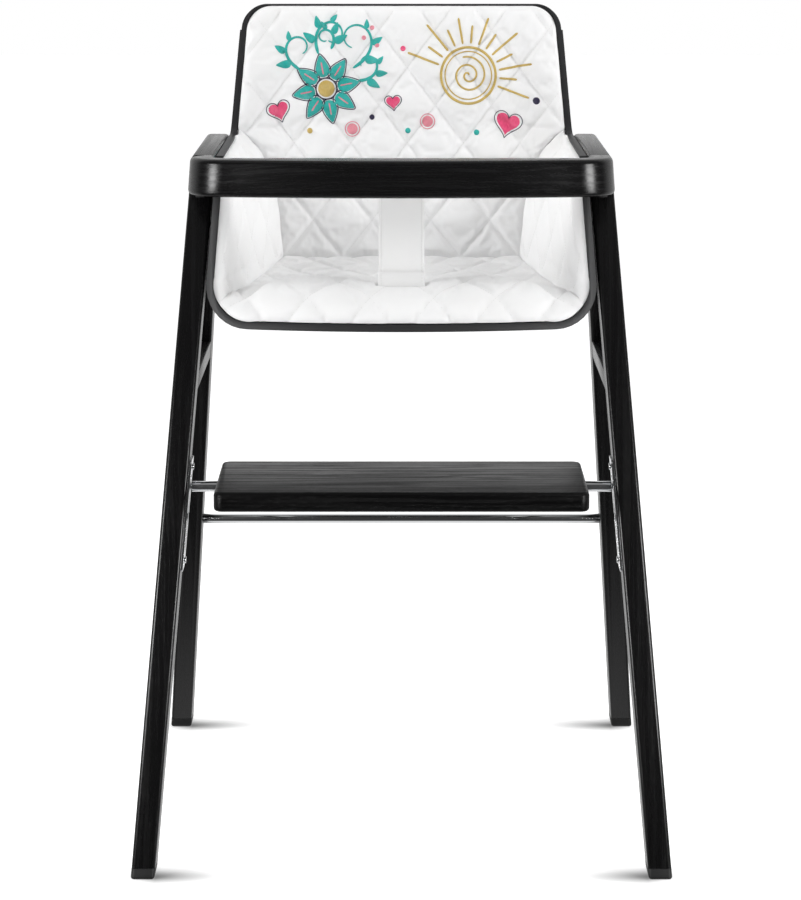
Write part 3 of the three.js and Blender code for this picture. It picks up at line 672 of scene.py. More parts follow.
def back_cushion():
    top, bottom = HEAD_Z - 0.0022, SEAT_Z - TUCK
    u = run(BACK_WIDTH, SIDE_ROLL, SIDE_ROLL) * 2 - 1
    v = run(top - bottom, 0, HEAD_ROLL)
    z, u = np.meshgrid(bottom + v * (top - bottom), u, indexing="ij")
    half = np.interp(z, BACK_EDGE[:, 0], BACK_EDGE[:, 1])
    from_side = (1 - np.abs(u)) * half
    from_top = top - z
    a = np.clip(HEAD_CORNER - from_side, 0, None)
    b = np.clip(HEAD_CORNER - from_top, 0, None)
    corner = (a > 0) & (b > 0)
    square = 2 * HEAD_CORNER ** 2
    across = np.where(corner, a * np.sqrt(1 - b ** 2 / square), a)
    upward = np.where(corner, b * np.sqrt(1 - a ** 2 / square), b)
    from_side = np.where(corner, HEAD_CORNER - across, from_side)
    z = np.where(corner, top - HEAD_CORNER + upward, z)
    half = np.interp(z, BACK_EDGE[:, 0], BACK_EDGE[:, 1])
    x = np.sign(u) * (half - from_side)
    way_out = np.where(corner, HEAD_CORNER - np.hypot(across, upward),
                       np.minimum(from_side, top - z))
    topness = np.where(corner, upward / np.maximum(across + upward, 1e-9), (b > a) * 1.0)
    side_roll = SIDE_ROLL * smooth((z - EDGE_JOINT) / 0.012)
    radius = lerp(side_roll, HEAD_ROLL, topness)
    drop = roll_drop(way_out, radius) * lerp(side_roll, HEAD_DROP, topness)
    curl = smooth(1 - (from_side - side_roll) / CURL)
    edge_y = np.interp(z, BACK_EDGE[:, 0], BACK_EDGE[:, 2])
    y = lerp(back_face_y(z), edge_y, curl) + drop
    up = (z - SEAT_Z) * math.hypot(1, BACK_RECLINE)
    row = (ROW_LEVEL - SEAT_Z) * math.hypot(1, BACK_RECLINE)
    below = quilt(x, up, LOW_DIAMOND)
    above = quilt(x - 0.007, up - row, HIGH_DIAMOND)
    low_height, low_way = quilted(below, LOW_DIAMOND)
    high_height, high_way = quilted(above, HIGH_DIAMOND)
    upper = z > SEAM_LEVEL
    seam = np.abs(z - SEAM_LEVEL)
    way = np.minimum(np.where(upper, high_way, low_way), seam)
    height = np.where(upper, high_height, low_height) * smooth(seam / 0.010)
    sewn = np.where(z < EDGE_JOINT, from_side, 1.0)
    valley = lerp(0.007, 0.0016, smooth((z - SEAM_LEVEL) / 0.022))
    border = np.minimum(np.minimum(sewn / valley, up / 0.010), way_out / 0.010)
    fade = np.sqrt(smooth(border))
    inside = np.minimum(np.minimum(sewn, way_out), up) > 0.004
    fields = [(field, inside & ~upper) for field in below]
    fields += [(field, inside & upper) for field in above]
    obj = cushion("back_cushion", np.stack([x, y, z], 2), fields, (height, way), fade)
    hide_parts("backrest_pad")
    return obj


# The seams on the sitter's left; the right ones mirror them.

RIM_ROLL = 0.008
LIP_ANGLE = math.radians(58)  # how far round the tub's lower corner the seat's seam starts
LIP_CENTRE_X = 0.171
SIDE_LENGTH = 0.30
SIDE_HEIGHT = 0.160
SIDE_CROSSING = (0.205, 0.046)  # along and up to a crossing of the side's sewn lines


def rim_point(angle=None, z=None):
    """A point of the tub's inner front edge: round its lower corner, or straight above it."""
    if angle is not None:
        x = LIP_CENTRE_X + FLOOR_RADIUS * math.sin(angle)
        z = FLOOR_Z + FLOOR_RADIUS * (1 - math.cos(angle))
    else:
        x = inner_half(z)
    return np.array([x - PLY * 0.3, lip_y(x, z) + REVEAL, z])


def resample(points, shares):
    points = np.asarray(points, float)
    steps = np.linalg.norm(np.diff(points, axis=0), axis=1)
    along = np.concatenate([[0], np.cumsum(steps)]) / steps.sum()
    return np.stack([np.interp(shares, along, points[:, k]) for k in range(3)], 1)


def seam_line():
    """The sewn line between seat and side, from the front rim to the back crease."""
    rim = rim_point(LIP_ANGLE)
    outward = np.array([math.sin(LIP_ANGLE), 0, -math.cos(LIP_ANGLE)])
    turns = np.linspace(math.pi / 2, 0, 7)[:, None]
    roll = (rim - outward * RIM_ROLL + np.array([0, RIM_ROLL, 0])
            + outward * RIM_ROLL * (1 - np.cos(turns)) - np.array([0, RIM_ROLL, 0]) * np.sin(turns))
    share = np.linspace(0, 1, 60)[1:, None]
    sag = np.array([0, 0, -0.004]) * np.sin(np.pi * share)
    return np.concatenate([roll, lerp(roll[-1], CREASE, share) + sag])


SEAM = seam_line()


def side_cushion(hand, mirror):
    """u runs from the back seam to the front rim, v from the seat's seam to the top rim."""
    u = run(SIDE_LENGTH, 0, RIM_ROLL)
    v = run(SIDE_HEIGHT, 0, RIM_ROLL)
    front_roll = np.clip(1 - (1 - u) * SIDE_LENGTH / RIM_ROLL, 0, 1)[None, :]
    top_roll = np.clip(1 - (1 - v) * SIDE_HEIGHT / RIM_ROLL, 0, 1)[:, None]
    face_u = np.minimum(u / (1 - RIM_ROLL / SIDE_LENGTH), 1)
    face_v = np.minimum(v / (1 - RIM_ROLL / SIDE_HEIGHT), 1)
    low = resample(SEAM[6:][::-1], face_u)
    back = resample(BACK_EDGE[BACK_EDGE[:, 0] <= EDGE_JOINT][:, [1, 2, 0]], face_v)
    arc = [rim_point(a) for a in np.linspace(LIP_ANGLE, math.pi / 2, 6)]
    top_z = ARM_Z - REVEAL
    crest = top_z - RIM_ROLL
    wall = [rim_point(z=z) for z in np.linspace(FLOOR_Z + FLOOR_RADIUS + 0.006, crest, 20)]
    rim = np.array(arc + wall)
    turn = np.concatenate([np.linspace(LIP_ANGLE, math.pi / 2, 6), np.full(20, math.pi / 2)])
    outward = np.stack([np.sin(turn), 0 * turn, -np.cos(turn)], 1)
    front = resample(rim - outward * RIM_ROLL + np.array([0, RIM_ROLL, 0]), face_v)
    share = np.linspace(0, 1, len(outward))
    outward = np.stack([np.interp(face_v, share, outward[:, k]) for k in range(3)], 1)
    rear = [back[-1], (0.1945, 0.164, 0.7730), (0.1925, 0.142, 0.7700)]
    inside_x = inner_half(crest) - RIM_ROLL
    straight = [(inside_x, y, crest) for y in np.linspace(0.12, front[-1][1], 12)]
    high = resample(softened(rear + straight[:-1] + [front[-1]], 3), face_u)
    face = coons(low, high, back, front, face_u, face_v)
    hollow = np.sin(np.pi * np.clip(face_u, 0, 1))[None, :] * np.sin(np.pi * face_v)[:, None]
    face[..., 0] += 0.0035 * hollow
    top_roll = top_roll * smooth(face_u / 0.16)[None, :]
    face[..., 1] -= RIM_ROLL * front_roll
    face[..., 2] += RIM_ROLL * top_roll
    out = RIM_ROLL * (1 - np.sqrt(1 - front_roll ** 2) * np.sqrt(1 - top_roll ** 2))
    face += out[..., None] * outward[:, None, :]
    along = np.linalg.norm(low[-1] - low[0]) * u[None, :]
    up = 0.153 * v[:, None]
    fields = quilt(along - SIDE_CROSSING[0], up - SIDE_CROSSING[1])
    free = np.minimum((1 - u)[None, :] * SIDE_LENGTH, (1 - v)[:, None] * SIDE_HEIGHT)
    valley = lerp(0.009, 0.002, smooth((v - 0.68) / 0.16))[:, None]
    border = np.minimum(np.minimum(along / valley, up / 0.009), free / 0.010)
    fade = np.sqrt(smooth(border))
    inside = np.minimum(np.minimum(along, up), free) > 0.004
    obj = cushion(f"{hand}_side_cushion", face, [(field, inside) for field in fields],
                  quilted(fields), fade, mirror, 0.0034)
    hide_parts(f"{hand}_side_pad")


# The seat: a bolster over the front lip, a fold behind it, then the flat of the seat.

NOSE_DEPTH = 0.042
SEAT_BASE = SEAT_Z - 0.001
STRAP_ROOT_Y = -0.1262     # where the strap meets the seat's surface


def fold_line(x):
    """Where the fold behind the bolster runs, drawn forwards by the strap."""
    x = np.abs(x)
    return -0.1330 + 0.046 * smooth(x / 0.072) - 0.012 * smooth((x - 0.072) / 0.09)


def seat_cushion():
    """u runs across from the right seam to the left one, v from the front rim to the crease."""
    depth = CREASE[1] - LIP_Y
    u = run(0.40, 0, 0)
    v = run(depth, NOSE_DEPTH * 0.5, 0)
    corner = [rim_point(a) for a in np.linspace(0, LIP_ANGLE, 9)]
    flat = [np.array([x, lip_y(x, FLOOR_Z) + REVEAL, FLOOR_Z + 0.0012])
            for x in np.linspace(0, LIP_CENTRE_X, 20)[:-1]]
    half = np.array(flat + corner)
    low = resample(np.concatenate([half[::-1] * np.array([-1, 1, 1]), half[1:]]), u)
    left = resample(SEAM, v)
    right = left * np.array([-1, 1, 1])
    high = lerp(CREASE * np.array([-1, 1, 1]), CREASE, u[:, None])
    face = coons(low, high, right, left, u, v)
    across = 2 * u[None, :] - 1
    x, y = face[..., 0], face[..., 1]
    back_of_lip = y - low[None, :, 1]
    nose = np.sqrt(np.clip(1 - (1 - np.clip(back_of_lip / NOSE_DEPTH, 0, 1)) ** 2, 0, 1))
    base = lerp(FLOOR_Z, CREASE[2], v)[:, None]
    target = lerp(FLOOR_Z, SEAT_BASE, nose)
    body = 1 - np.abs(across) ** 6
    rise = (target - base) * body
    behind = y - fold_line(x)
    drop = lerp(2.2, 1.0, smooth((np.abs(x) - 0.060) / 0.070))
    swell = np.where(behind < 0, smooth(1 + behind / 0.045), 1 - drop * smooth(behind / 0.006)
                     + (drop - 1) * smooth((behind - 0.006) / 0.070))
    strength = 0.0048 * smooth(np.abs(x) / 0.060) * smooth((1 - np.abs(across)) / 0.25) + 0.0024
    rise += swell * strength
    dish = -0.0035 * np.sin(np.pi * np.clip((y + 0.07) / (CREASE[1] + 0.07), 0, 1)) * body
    slot = np.exp(-((y - STRAP_ROOT_Y) / 0.0040) ** 2) * smooth((0.0305 - np.abs(x)) / 0.003)
    face[..., 2] += rise + dish - 0.007 * slot
    arc = np.linalg.norm(np.diff(face, axis=0), axis=2)
    along = np.concatenate([np.zeros((1, len(u))), np.cumsum(arc, axis=0)])
    fields = quilt(x + 0.0352, along - 0.030)
    sewn = (1 - np.abs(across)) * 0.19
    border = np.minimum(np.minimum(sewn, CREASE[1] - y), along + 0.004)
    pull = np.exp(-(x / 0.042) ** 4 - ((y - STRAP_ROOT_Y + 0.004) / 0.030) ** 2)
    fade = np.sqrt(smooth(border / 0.010)) * (1 - slot) * (1 - 0.85 * pull)
    inside = (np.minimum(border, along) > 0.003) & (slot < 0.1)
    obj = cushion("seat_cushion", face, [(field, inside) for field in fields],
                  quilted(fields), fade, puff=0.0036)
    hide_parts("seat_pad")


back = back_cushion()
seat_cushion()
for hand, mirror in (("left", False), ("right", True)):
    side_cushion(hand, mirror)

# ---------- the crotch strap ----------

STRAP_PLY = 0.0019         # half the strap's thickness
STITCH_IN = 0.0032         # how far the stitch rows lie inside the strap's edges
STRAP_HALF = 0.0257        # half the strap's width
STRAP_FOOT = 0.5905        # the strap goes down through the seat to its rod
FOLD_HALF = 0.0262         # half the width of the ply folded back over the foot
FOLD_TOP = 0.6515
FLARE = 0.0007             # how much wider the foot gets
HEM_HALF = 0.0255
ROD_Z = 0.5858             # where the hem goes round the rod


def strap_section(half, ply):
    """A flat band's outline, thinner along its stitch rows, with rounded edges."""
    x = np.linspace(-half + 0.0012, half - 0.0012, 45)
    row = np.exp(-((np.abs(x) - (half - STITCH_IN)) / 0.0009) ** 2)
    y = -ply * (1 - 0.30 * row) * (1 - 0.25 * (np.abs(x) / half) ** 8)
    front = np.stack([x, y], 1)
    turns = np.linspace(-math.pi / 2, math.pi / 2, 7)[1:-1]
    edge = np.stack([half - 0.0012 + 0.0012 * np.cos(turns), 0.75 * ply * np.sin(turns)], 1)
    other = front[::-1] * np.array([1, -1])
    return np.concatenate([front, edge, other, edge[::-1] * np.array([-1, 1])])


def swept(name, sections, centres):
    """Joins sections drawn in (x, depth), one for each centre, and closes both ends."""
    rows = []
    for k, (section, centre) in enumerate(zip(sections, centres)):
        ahead = centres[min(k + 1, len(centres) - 1)] - centres[max(k - 1, 0)]
        ahead = ahead / np.linalg.norm(ahead)
        depth = np.cross(ahead, np.array([1.0, 0, 0]))
        rows.append(centre + section[:, :1] * np.array([1.0, 0, 0]) + section[:, 1:] * depth)
    count = len(sections[0])
    faces = []
    for row in range(len(rows) - 1):
        for k in range(count):
            a, b = row * count + k, row * count + (k + 1) % count
            faces.append((a, b, b + count, a + count))
    faces.append(tuple(range(count))[::-1])
    faces.append(tuple((len(rows) - 1) * count + k for k in range(count)))
    obj = mesh_object(name, np.concatenate(rows), faces)
    dress(obj, "strap_webbing", 50)
    return obj


def strap_centre(z):
    """The strap comes forwards over its last two centimetres above the seat."""
    forward = 0.0078 * smooth((0.656 - z) / 0.026) * smooth((z - 0.600) / 0.022)
    return np.array([0.0, (STRAP_LOW.y + STRAP_HIGH.y) / 2 - forward, z])


def band_centre(z):
    """The main ply's middle, which leans forwards where it meets the bar."""
    shift = 0.0006 - 0.0016 * smooth((z - 0.735) / 0.02)
    return strap_centre(z) + np.array([0.0, shift, 0.0])


def strap_band():
    levels = np.concatenate([np.linspace(STRAP_FOOT, 0.668, 36),
                             np.linspace(0.672, STRAP_HIGH.z, 30)])
    sections = []
    for z in levels:
        end = smooth((STRAP_HIGH.z - z) / 0.002)
        ply = STRAP_PLY * (0.4 + 0.6 * end) * (1 + 0.10 * math.sin(z * 61.0))
        sections.append(strap_section(STRAP_HALF + FLARE * smooth((0.656 - z) / 0.026), ply))
    band = swept("crotch_strap_band", sections, [band_centre(z) for z in levels])
    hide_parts("crotch_strap")


def strap_fold():
    """The end folded back over the front of the foot."""
    sections, centres = [], []
    for z in np.linspace(0.6235, FOLD_TOP, 22):
        top = smooth((FOLD_TOP - z) / 0.003)
        centres.append(strap_centre(z) - np.array([0, STRAP_PLY + 0.0010 * top, 0]))
        sections.append(strap_section(FOLD_HALF + FLARE * smooth((0.640 - z) / 0.016),
                                      0.0011 * (0.3 + 0.7 * top)))
    swept("crotch_strap_fold", sections, centres)


def strap_hem():
    """The loop round the rod under the shell."""
    around, along = 24, 9
    turns = np.linspace(0, 2 * math.pi, around, endpoint=False)
    y = strap_centre(STRAP_FOOT)[1]
    verts, faces = [], []
    for x in np.linspace(-HEM_HALF, HEM_HALF, along):
        pinch = 1 - 0.25 * (abs(x) / HEM_HALF) ** 6
        verts += [(x, y + 0.0051 * math.cos(t) * pinch, ROD_Z + 0.0029 * math.sin(t) * pinch)
                  for t in turns]
    for row in range(along - 1):
        for k in range(around):
            a, b = row * around + k, row * around + (k + 1) % around
            faces.append((a, a + around, b + around, b))
    faces.append(tuple(range(around)))
    faces.append(tuple((along - 1) * around + k for k in range(around))[::-1])
    dress(mesh_object("crotch_strap_hem", verts, faces), "strap_webbing", 50)


def strap_stitches():
    """Two rows on each face of the strap and two on the fold."""
    rows = [[(side * (STRAP_HALF - STITCH_IN), band_centre(z)[1] + face * STRAP_PLY * 0.70, z,
              0, face, 0) for z in np.arange(0.600, 0.770, 0.002)]
            for side in (-1, 1) for face in (-1, 1)]
    rows += [[(side * (FOLD_HALF - STITCH_IN), strap_centre(z)[1] - STRAP_PLY - 0.0018, z,
               0, -1, 0) for z in np.arange(0.626, 0.6500, 0.001)] for side in (-1, 1)]
    stitches("crotch_strap_stitches", [np.array(row, float) for row in rows], "strap_webbing",
             pitch=0.0033, length=0.0025, radius=0.00022)


strap_band()
strap_fold()
strap_hem()
strap_stitches()

# ---------- embroidery on the back cushion ----------

PILE = 0.0011              # how far the threads stand over the cloth
SATIN = 0.0016             # from thread turn to thread turn along a ribbon's mesh
BACK_TREE = BVHTree.FromObject(back, bpy.context.evaluated_depsgraph_get())


def satin_thread(name, colour, dark):
    """Satin stitch: glossy threads lying side by side across `satin`'s X."""
    n = Nodes(name)
    satin = n.attribute("satin")
    axes = n.add("ShaderNodeSeparateXYZ")
    n.link(satin, axes.inputs[0])
    thread = n.math("SINE", n.math("MULTIPLY", axes.outputs["X"], 2 * math.pi / 0.00042))
    lie = n.noise(n.stretch(satin, (2400.0, 160.0, 1.0)), 1.0, 2.0)
    n.feed(Base_Color=n.mix(n.remap(lie, 0.3, 0.7), dark, colour))
    n.feed(Roughness=n.remap(lie, 0.3, 0.7, 0.30, 0.45))
    n.feed(Normal=n.bump(thread, 0.00008, 0.7))
    n.values(Sheen_Weight=0.2)
    return n.material


class Stitched:
    """Gathers the ribbons and fills of one thread colour, drawn in (x, height) on the back."""

    def __init__(self, name, colour, dark):
        self.name = name
        self.material = satin_thread(name, colour, dark)
        self.verts, self.faces, self.satin = [], [], []

    def lay(self, points, heights, satin):
        """Puts drawn points on the cushion, each a little above the cloth."""
        first = len(self.verts)
        for (x, z), height, thread in zip(points, heights, satin):
            spot, normal, _, _ = BACK_TREE.ray_cast(Vector((x, -0.4, z)), Vector((0, 1, 0)))
            towards = (normal + Vector((0, -2.0, 0.6))).normalized()
            self.verts.append(spot + towards * height)
            self.satin.append((*thread, 0.0))
        return first

    def ribbon(self, line, width, closed=False, over=0.0):
        """A rounded bar of satin stitch along a drawn line, `over` other threads."""
        line = np.asarray(line, float)
        steps = np.linalg.norm(np.diff(line, axis=0), axis=1)
        along = np.concatenate([[0], np.cumsum(steps)])
        count = max(int(along[-1] / SATIN), 4)
        at = np.linspace(0, along[-1], count + 1)
        middle = np.stack([np.interp(at, along, line[:, k]) for k in (0, 1)], 1)
        heading = np.gradient(middle, axis=0)
        if closed:
            heading[0] = heading[-1] = middle[1] - middle[-2]
        heading /= np.linalg.norm(heading, axis=1, keepdims=True)
        normal = np.stack([-heading[:, 1], heading[:, 0]], 1)
        share = at / along[-1]
        half = np.broadcast_to(width(share) if callable(width) else width, share.shape) / 2
        if not closed:
            ends = np.minimum(at, along[-1] - at) / np.maximum(half, 1e-4)
            half = half * np.sqrt(np.clip(1 - (1 - np.clip(ends, 0.12, 1)) ** 2, 0, 1))
        across = np.array([-1, -0.85, -0.45, 0, 0.45, 0.85, 1])
        arch = np.array([-0.5, 0.45, 0.9, 1.0, 0.9, 0.45, -0.5]) * PILE
        lift = np.clip(half / 0.0010, 0.35, 1)
        points = middle[:, None] + normal[:, None] * (half[:, None] * across)[..., None]
        satin = np.stack([np.repeat(at[:, None], 7, 1), half[:, None] * across], 2)
        first = self.lay(points.reshape(-1, 2), (lift[:, None] * arch).ravel() + over,
                         satin.reshape(-1, 2))
        for row in range(count):
            for k in range(6):
                a = first + row * 7 + k
                self.faces.append((a, a + 1, a + 8, a + 7))

    def border(self, outline, width):
        """A ribbon all the way round."""
        self.ribbon(np.concatenate([outline, outline[:1]]), width, closed=True)

    def fill(self, centre, outline, rings=7, turn=0.0):
        """A filled patch: an outline round a centre, its threads lying along `turn`."""
        outline = np.asarray(outline, float)
        centre = np.asarray(centre, float)
        count = len(outline)
        shares = 1 - (1 - np.linspace(0, 1, rings + 1)[1:]) ** 1.6
        points, heights = [centre], [PILE]
        for share in shares:
            points += list(lerp(centre, outline, share))
            heights += [PILE * (1 - 1.4 * share ** 8)] * count
        points = np.array(points)
        cos, sin = math.cos(turn), math.sin(turn)
        satin = np.stack([points @ (cos, sin), points @ (-sin, cos)], 1)
        first = self.lay(points, heights, satin)
        for k in range(count):
            follow = (k + 1) % count
            self.faces.append((first, first + 1 + k, first + 1 + follow))
            for ring in range(rings - 1):
                a = first + 1 + ring * count
                self.faces.append((a + k, a + count + k, a + count + follow, a + follow))

    def finish(self):
        obj = mesh_object(self.name, self.verts, self.faces)
        set_attribute(obj.data, "satin", self.satin)
        bm = bmesh.new()
        bm.from_mesh(obj.data)
        for face in bm.faces:
            if face.normal.y > 0:
                face.normal_flip()
        bm.to_mesh(obj.data)
        bm.free()
        shade(obj)
        obj.data.materials.append(self.material)
        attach(obj, "chair")


def unit(turn):
    return np.array([math.cos(turn), math.sin(turn)])


def turned(along, across, turn, centre):
    """Points drawn along and across a heading, put round their centre."""
    cos, sin = unit(turn)
    return np.stack([centre[0] + along * cos - across * sin,
                     centre[1] + along * sin + across * cos], 1)


def round_turns(count):
    return np.linspace(0, 2 * math.pi, count, endpoint=False)


def circle(centre, radius, count=71):
    turns = round_turns(count)
    return turned(radius * np.cos(turns), radius * np.sin(turns), 0.0, centre)


def curl(start, heading, length, bend, count=40):
    """A line that winds up: its bend grows along the way."""
    share = np.linspace(0, 1, count)
    turn = heading + bend * share ** 1.7
    step = length / (count - 1)
    x = start[0] + np.cumsum(np.cos(turn)) * step
    z = start[1] + np.cumsum(np.sin(turn)) * step
    return np.stack([x, z], 1)


def leaf(centre, heading, length, width):
    """A pointed leaf's outline."""
    turns = round_turns(40)
    across = np.sin(turns) * width / 2 * (1 - 0.55 * np.cos(turns))
    return turned(np.cos(turns) * length / 2, across, heading, centre)


def heart(centre, size, lean):
    turns = round_turns(64)
    x = 16 * np.sin(turns) ** 3
    z = 13 * np.cos(turns) - 5 * np.cos(2 * turns) - 2 * np.cos(3 * turns) - np.cos(4 * turns)
    return turned(x * size / 32, z * size / 32, lean, centre)


def embroider():
    teal = Stitched("embroidery_teal", (0.002, 0.50, 0.44), (0.0, 0.33, 0.30))
    gold = Stitched("embroidery_gold", (0.72, 0.52, 0.13), (0.50, 0.34, 0.07))
    navy = Stitched("embroidery_navy", (0.018, 0.010, 0.060), (0.008, 0.006, 0.030))
    pink = Stitched("embroidery_pink", (0.93, 0.08, 0.24), (0.72, 0.04, 0.14))
    blush = Stitched("embroidery_blush", (0.85, 0.30, 0.36), (0.72, 0.22, 0.28))

    # A flower on a scrolling spray.
    flower = np.array([-0.092, 0.832])
    for k in range(8):
        turn = k * math.pi / 4 + 0.2
        petal = flower + 0.0275 * unit(turn)
        teal.fill(petal, leaf(petal, turn, 0.028, 0.0160), rings=5, turn=turn)
        blush.ribbon([flower + 0.0175 * unit(turn), flower + 0.0325 * unit(turn)], 0.0020,
                     over=0.0006)
        navy.border(leaf(petal, turn, 0.030, 0.0180), 0.0013)
    gold.fill(flower, circle(flower, 0.0105, 48))
    navy.border(circle(flower, 0.0128), 0.0018)
    stems = [((0.030, 0.023), 0.55, 0.112, 5.4), ((-0.009, 0.039), 1.9, 0.094, -5.6),
             ((-0.030, 0.021), 2.6, 0.084, -5.2), ((0.037, 0.009), 0.10, 0.068, 4.9),
             ((0.005, 0.046), 1.1, 0.054, 5.6)]
    for start, heading, length, bend in stems:
        line = curl(flower + start, heading, length, bend)
        teal.ribbon(line, lambda s: 0.0046 * (1 - 0.62 * s) * smooth(s / 0.15 + 0.45))
        side = 1 if bend > 0 else -1
        for share, size in ((0.16, 0.019), (0.34, 0.016), (0.52, 0.012)):
            k = int(share * 39)
            along = line[k + 1] - line[k]
            turn = math.atan2(along[1], along[0]) - side * 0.9
            centre = line[k] + size * 0.55 * unit(turn)
            teal.fill(centre, leaf(centre, turn, size, size * 0.50), rings=4, turn=turn + 0.9)
    for x, z in ((-0.036, 0.905), (-0.046, 0.893), (-0.030, 0.884)):
        blush.fill((x, z), circle((x, z), 0.0030, 20), rings=3)

    # A sun: two rings, a spiral, straight rays.
    sun = np.array([0.082, 0.848])
    gold.border(circle(sun, 0.0335), 0.0034)
    gold.border(circle(sun, 0.0285), 0.0016)
    turns = np.linspace(0, 4.6 * math.pi, 130)
    wound = 0.0049 * turns / math.pi
    gold.ribbon(turned(wound * np.cos(turns), wound * np.sin(turns), 0.0, sun), 0.0025)
    for k in range(13):
        spoke = unit(math.radians(-20 + k * 15))
        room = min((HEAD_Z - 0.016 - sun[1]) / max(spoke[1], 1e-3),
                   (0.178 - sun[0]) / max(spoke[0], 1e-3), (0.079, 0.060)[k % 2])
        gold.ribbon([sun + spoke * 0.0380, sun + spoke * room], 0.0029)

    # Hearts, and dots between them.
    for centre, size, lean in (((-0.150, 0.806), 0.025, 0.3), ((0.130, 0.791), 0.030, -0.25),
                               ((-0.010, 0.816), 0.018, 0.1)):
        pink.fill((centre[0], centre[1] + size * 0.06), heart(centre, size, lean), rings=6,
                  turn=lean)
        navy.border(heart(centre, size * 1.16, lean), 0.0011)
    for x, z, r, kind in ((-0.060, 0.784, 0.0070, blush), (0.032, 0.793, 0.0070, blush),
                          (0.165, 0.818, 0.0046, navy), (-0.036, 0.798, 0.0034, navy),
                          (0.008, 0.782, 0.0036, teal), (0.092, 0.780, 0.0036, teal),
                          (-0.112, 0.782, 0.0036, gold), (0.002, 0.880, 0.0034, pink)):
        kind.fill((x, z), circle((x, z), r, 28), rings=4)
        if r > 0.005:
            kind.border(circle((x, z), r + 0.0018), 0.0012)
    for kind in (teal, gold, navy, pink, blush):
        kind.finish()


embroider()

# ---------- floor, light and camera ----------

FLOOR_GLOW = 0.62
FLOOR_HALF = 14.0
DARK_SIDE = 0.05           # the room's level round the camera
BACK_WALL = 0.85
CEILING = 0.28
BELOW = 0.85
SIDE_LIGHTS = (            # degrees from the camera, distance, height, aim, size, watts, use
    ("strip", 43, 3.0, 0.68, 0.68, (1.0, 1.3), 64.0, "shine"),
    ("fill", 72, 2.4, 2.20, 0.70, (1.6, 1.6), 58.0, "cloth"),
)
SHADOW_LENGTH = 0.115
SHADOW_WIDTH = 0.023
EYE = (-0.0011, -3.408, 1.102)
LOOK_DOWN = 11.286         # degrees
LENS = 117.45


def floor_material():
    """White, with a soft shade that runs inwards from each foot."""
    n = Nodes("floor")
    n.values(Roughness=0.9, Specular_IOR_Level=0.1, Emission_Color=(1.0, 1.0, 1.0, 1.0))
    axes = n.add("ShaderNodeSeparateXYZ")
    n.link(n.place(), axes.inputs[0])
    outwards = n.math("ABSOLUTE", axes.outputs["X"])
    light = 1.0
    for foot in ("left_front_foot_cap", "left_rear_foot_cap"):
        low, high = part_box(foot)
        inwards = n.math("SUBTRACT", low.x, outwards)
        length = n.remap(inwards, SHADOW_LENGTH, 0.0, 0.0, 0.80)
        under = n.remap(inwards, low.x - high.x - 0.012, 0.0)
        away = n.math("DIVIDE", n.math("SUBTRACT", axes.outputs["Y"], low.y + 0.010), SHADOW_WIDTH)
        width = n.math("POWER", math.exp(-1), n.math("MULTIPLY", away, away))
        shade_here = n.math("MULTIPLY", n.math("MULTIPLY", length, under), width)
        light = n.math("MULTIPLY", n.math("SUBTRACT", 1.0, shade_here), light)
    n.feed(Base_Color=n.mix(light, (0.0, 0.0, 0.0), (0.93, 0.93, 0.93)))
    n.feed(Emission_Strength=n.math("MULTIPLY", light, FLOOR_GLOW))
    return n.material


def build_floor():
    corners = [(x * FLOOR_HALF, y * FLOOR_HALF, 0) for x, y in ((-1, -1), (1, -1), (1, 1), (-1, 1))]
    floor = mesh_object("floor", corners, [(0, 1, 2, 3)])
    floor.data.materials.append(floor_material())
    floor.visible_glossy = False


def area_light(name, place, target, size, power, seen_by="both"):
    """seen_by: `shine` lights reflections alone, `cloth` lights matt surfaces alone."""
    light = bpy.data.lights.new(name, "AREA")
    light.shape = "RECTANGLE"
    light.size, light.size_y = size
    light.energy = power
    lamp = bpy.data.objects.new(name, light)
    lamp.location = place
    lamp.visible_camera = False
    lamp.visible_diffuse = seen_by != "shine"
    lamp.visible_glossy = seen_by != "cloth"
    lamp.rotation_euler = (Vector(target) - Vector(place)).to_track_quat("-Z", "Y").to_euler()
    bpy.context.scene.collection.objects.link(lamp)


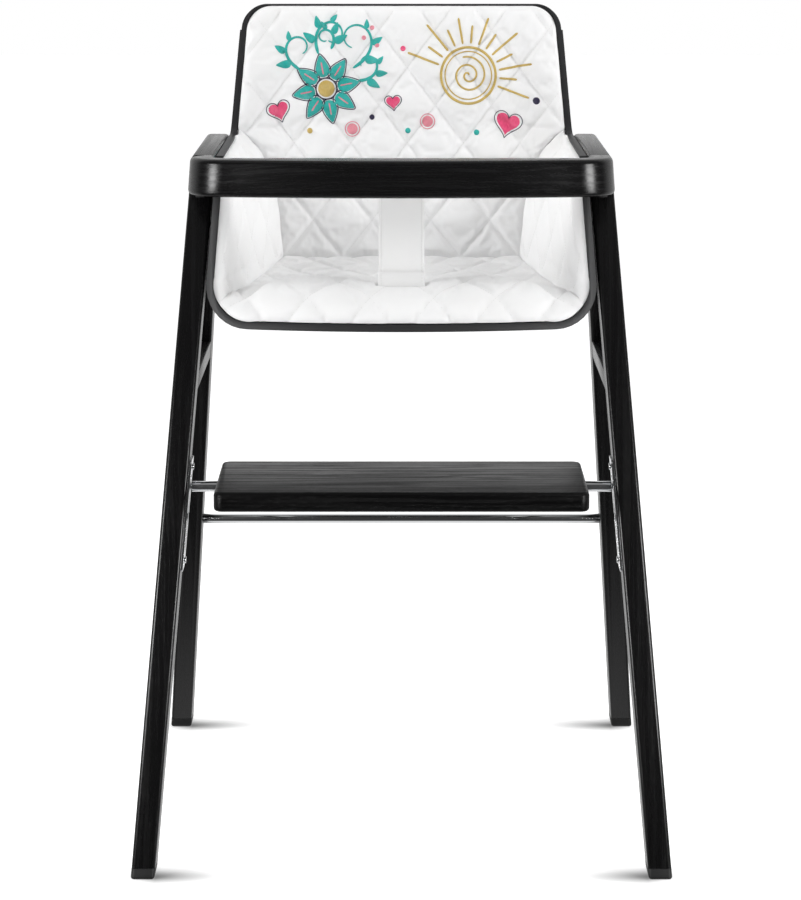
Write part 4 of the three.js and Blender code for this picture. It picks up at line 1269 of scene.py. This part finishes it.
def build_world():
    """White behind and above, dark round the camera; the camera itself sees plain white."""
    world = bpy.data.worlds.new("studio")
    bpy.context.scene.world = world
    world.use_nodes = True
    tree = world.node_tree

    def node(kind):
        return tree.nodes.new(kind)

    room = tree.nodes["Background"]
    room.inputs["Color"].default_value = (1.0, 1.0, 1.0, 1.0)
    axes = node("ShaderNodeSeparateXYZ")
    tree.links.new(node("ShaderNodeTexCoord").outputs["Generated"], axes.inputs[0])
    level = None
    for axis, dark_from, bright_from, bright in (("Y", -0.15, 0.45, BACK_WALL),
                                                 ("Z", 0.50, 0.90, CEILING),
                                                 ("Z", -0.74, -0.92, BELOW)):
        ramp = node("ShaderNodeMapRange")
        ramp.interpolation_type = "SMOOTHSTEP"
        for key, value in enumerate((dark_from, bright_from, DARK_SIDE, bright), 1):
            ramp.inputs[key].default_value = value
        tree.links.new(axes.outputs[axis], ramp.inputs[0])
        if level is None:
            level = ramp.outputs[0]
            continue
        most = node("ShaderNodeMath")
        most.operation = "MAXIMUM"
        tree.links.new(level, most.inputs[0])
        tree.links.new(ramp.outputs[0], most.inputs[1])
        level = most.outputs[0]
    tree.links.new(level, room.inputs["Strength"])
    backdrop = node("ShaderNodeBackground")
    backdrop.inputs["Color"].default_value = (1.0, 1.0, 1.0, 1.0)
    backdrop.inputs["Strength"].default_value = 1.0
    seen = node("ShaderNodeMixShader")
    tree.links.new(node("ShaderNodeLightPath").outputs["Is Camera Ray"], seen.inputs[0])
    tree.links.new(room.outputs[0], seen.inputs[1])
    tree.links.new(backdrop.outputs[0], seen.inputs[2])
    tree.links.new(seen.outputs[0], tree.nodes["World Output"].inputs[0])


def build_camera():
    data = bpy.data.cameras.new("camera")
    data.lens = LENS
    data.sensor_width = 36.0
    data.clip_end = 60.0
    camera = bpy.data.objects.new("camera", data)
    camera.location = EYE
    camera.rotation_euler = (math.radians(90 - LOOK_DOWN), 0.0, 0.0)
    bpy.context.scene.collection.objects.link(camera)
    bpy.context.scene.camera = camera


build_floor()
build_world()
for hand, side in (("left", 1), ("right", -1)):
    for kind, degrees, distance, height, aim, size, watts, seen_by in SIDE_LIGHTS:
        turn = math.radians(degrees)
        place = (side * distance * math.sin(turn), -distance * math.cos(turn), height)
        area_light(f"{hand}_{kind}", place, (0, 0, aim), size, watts, seen_by)
area_light("front", (0.0, -3.2, 1.35), (0, 0, 0.70), (2.2, 1.2), 1.5, "cloth")
area_light("top", (0.0, -1.15, 3.2), (0, 0.05, 0.7), (2.4, 1.2), 2.0)
build_camera()
bpy.context.scene.view_settings.view_transform = "Standard"
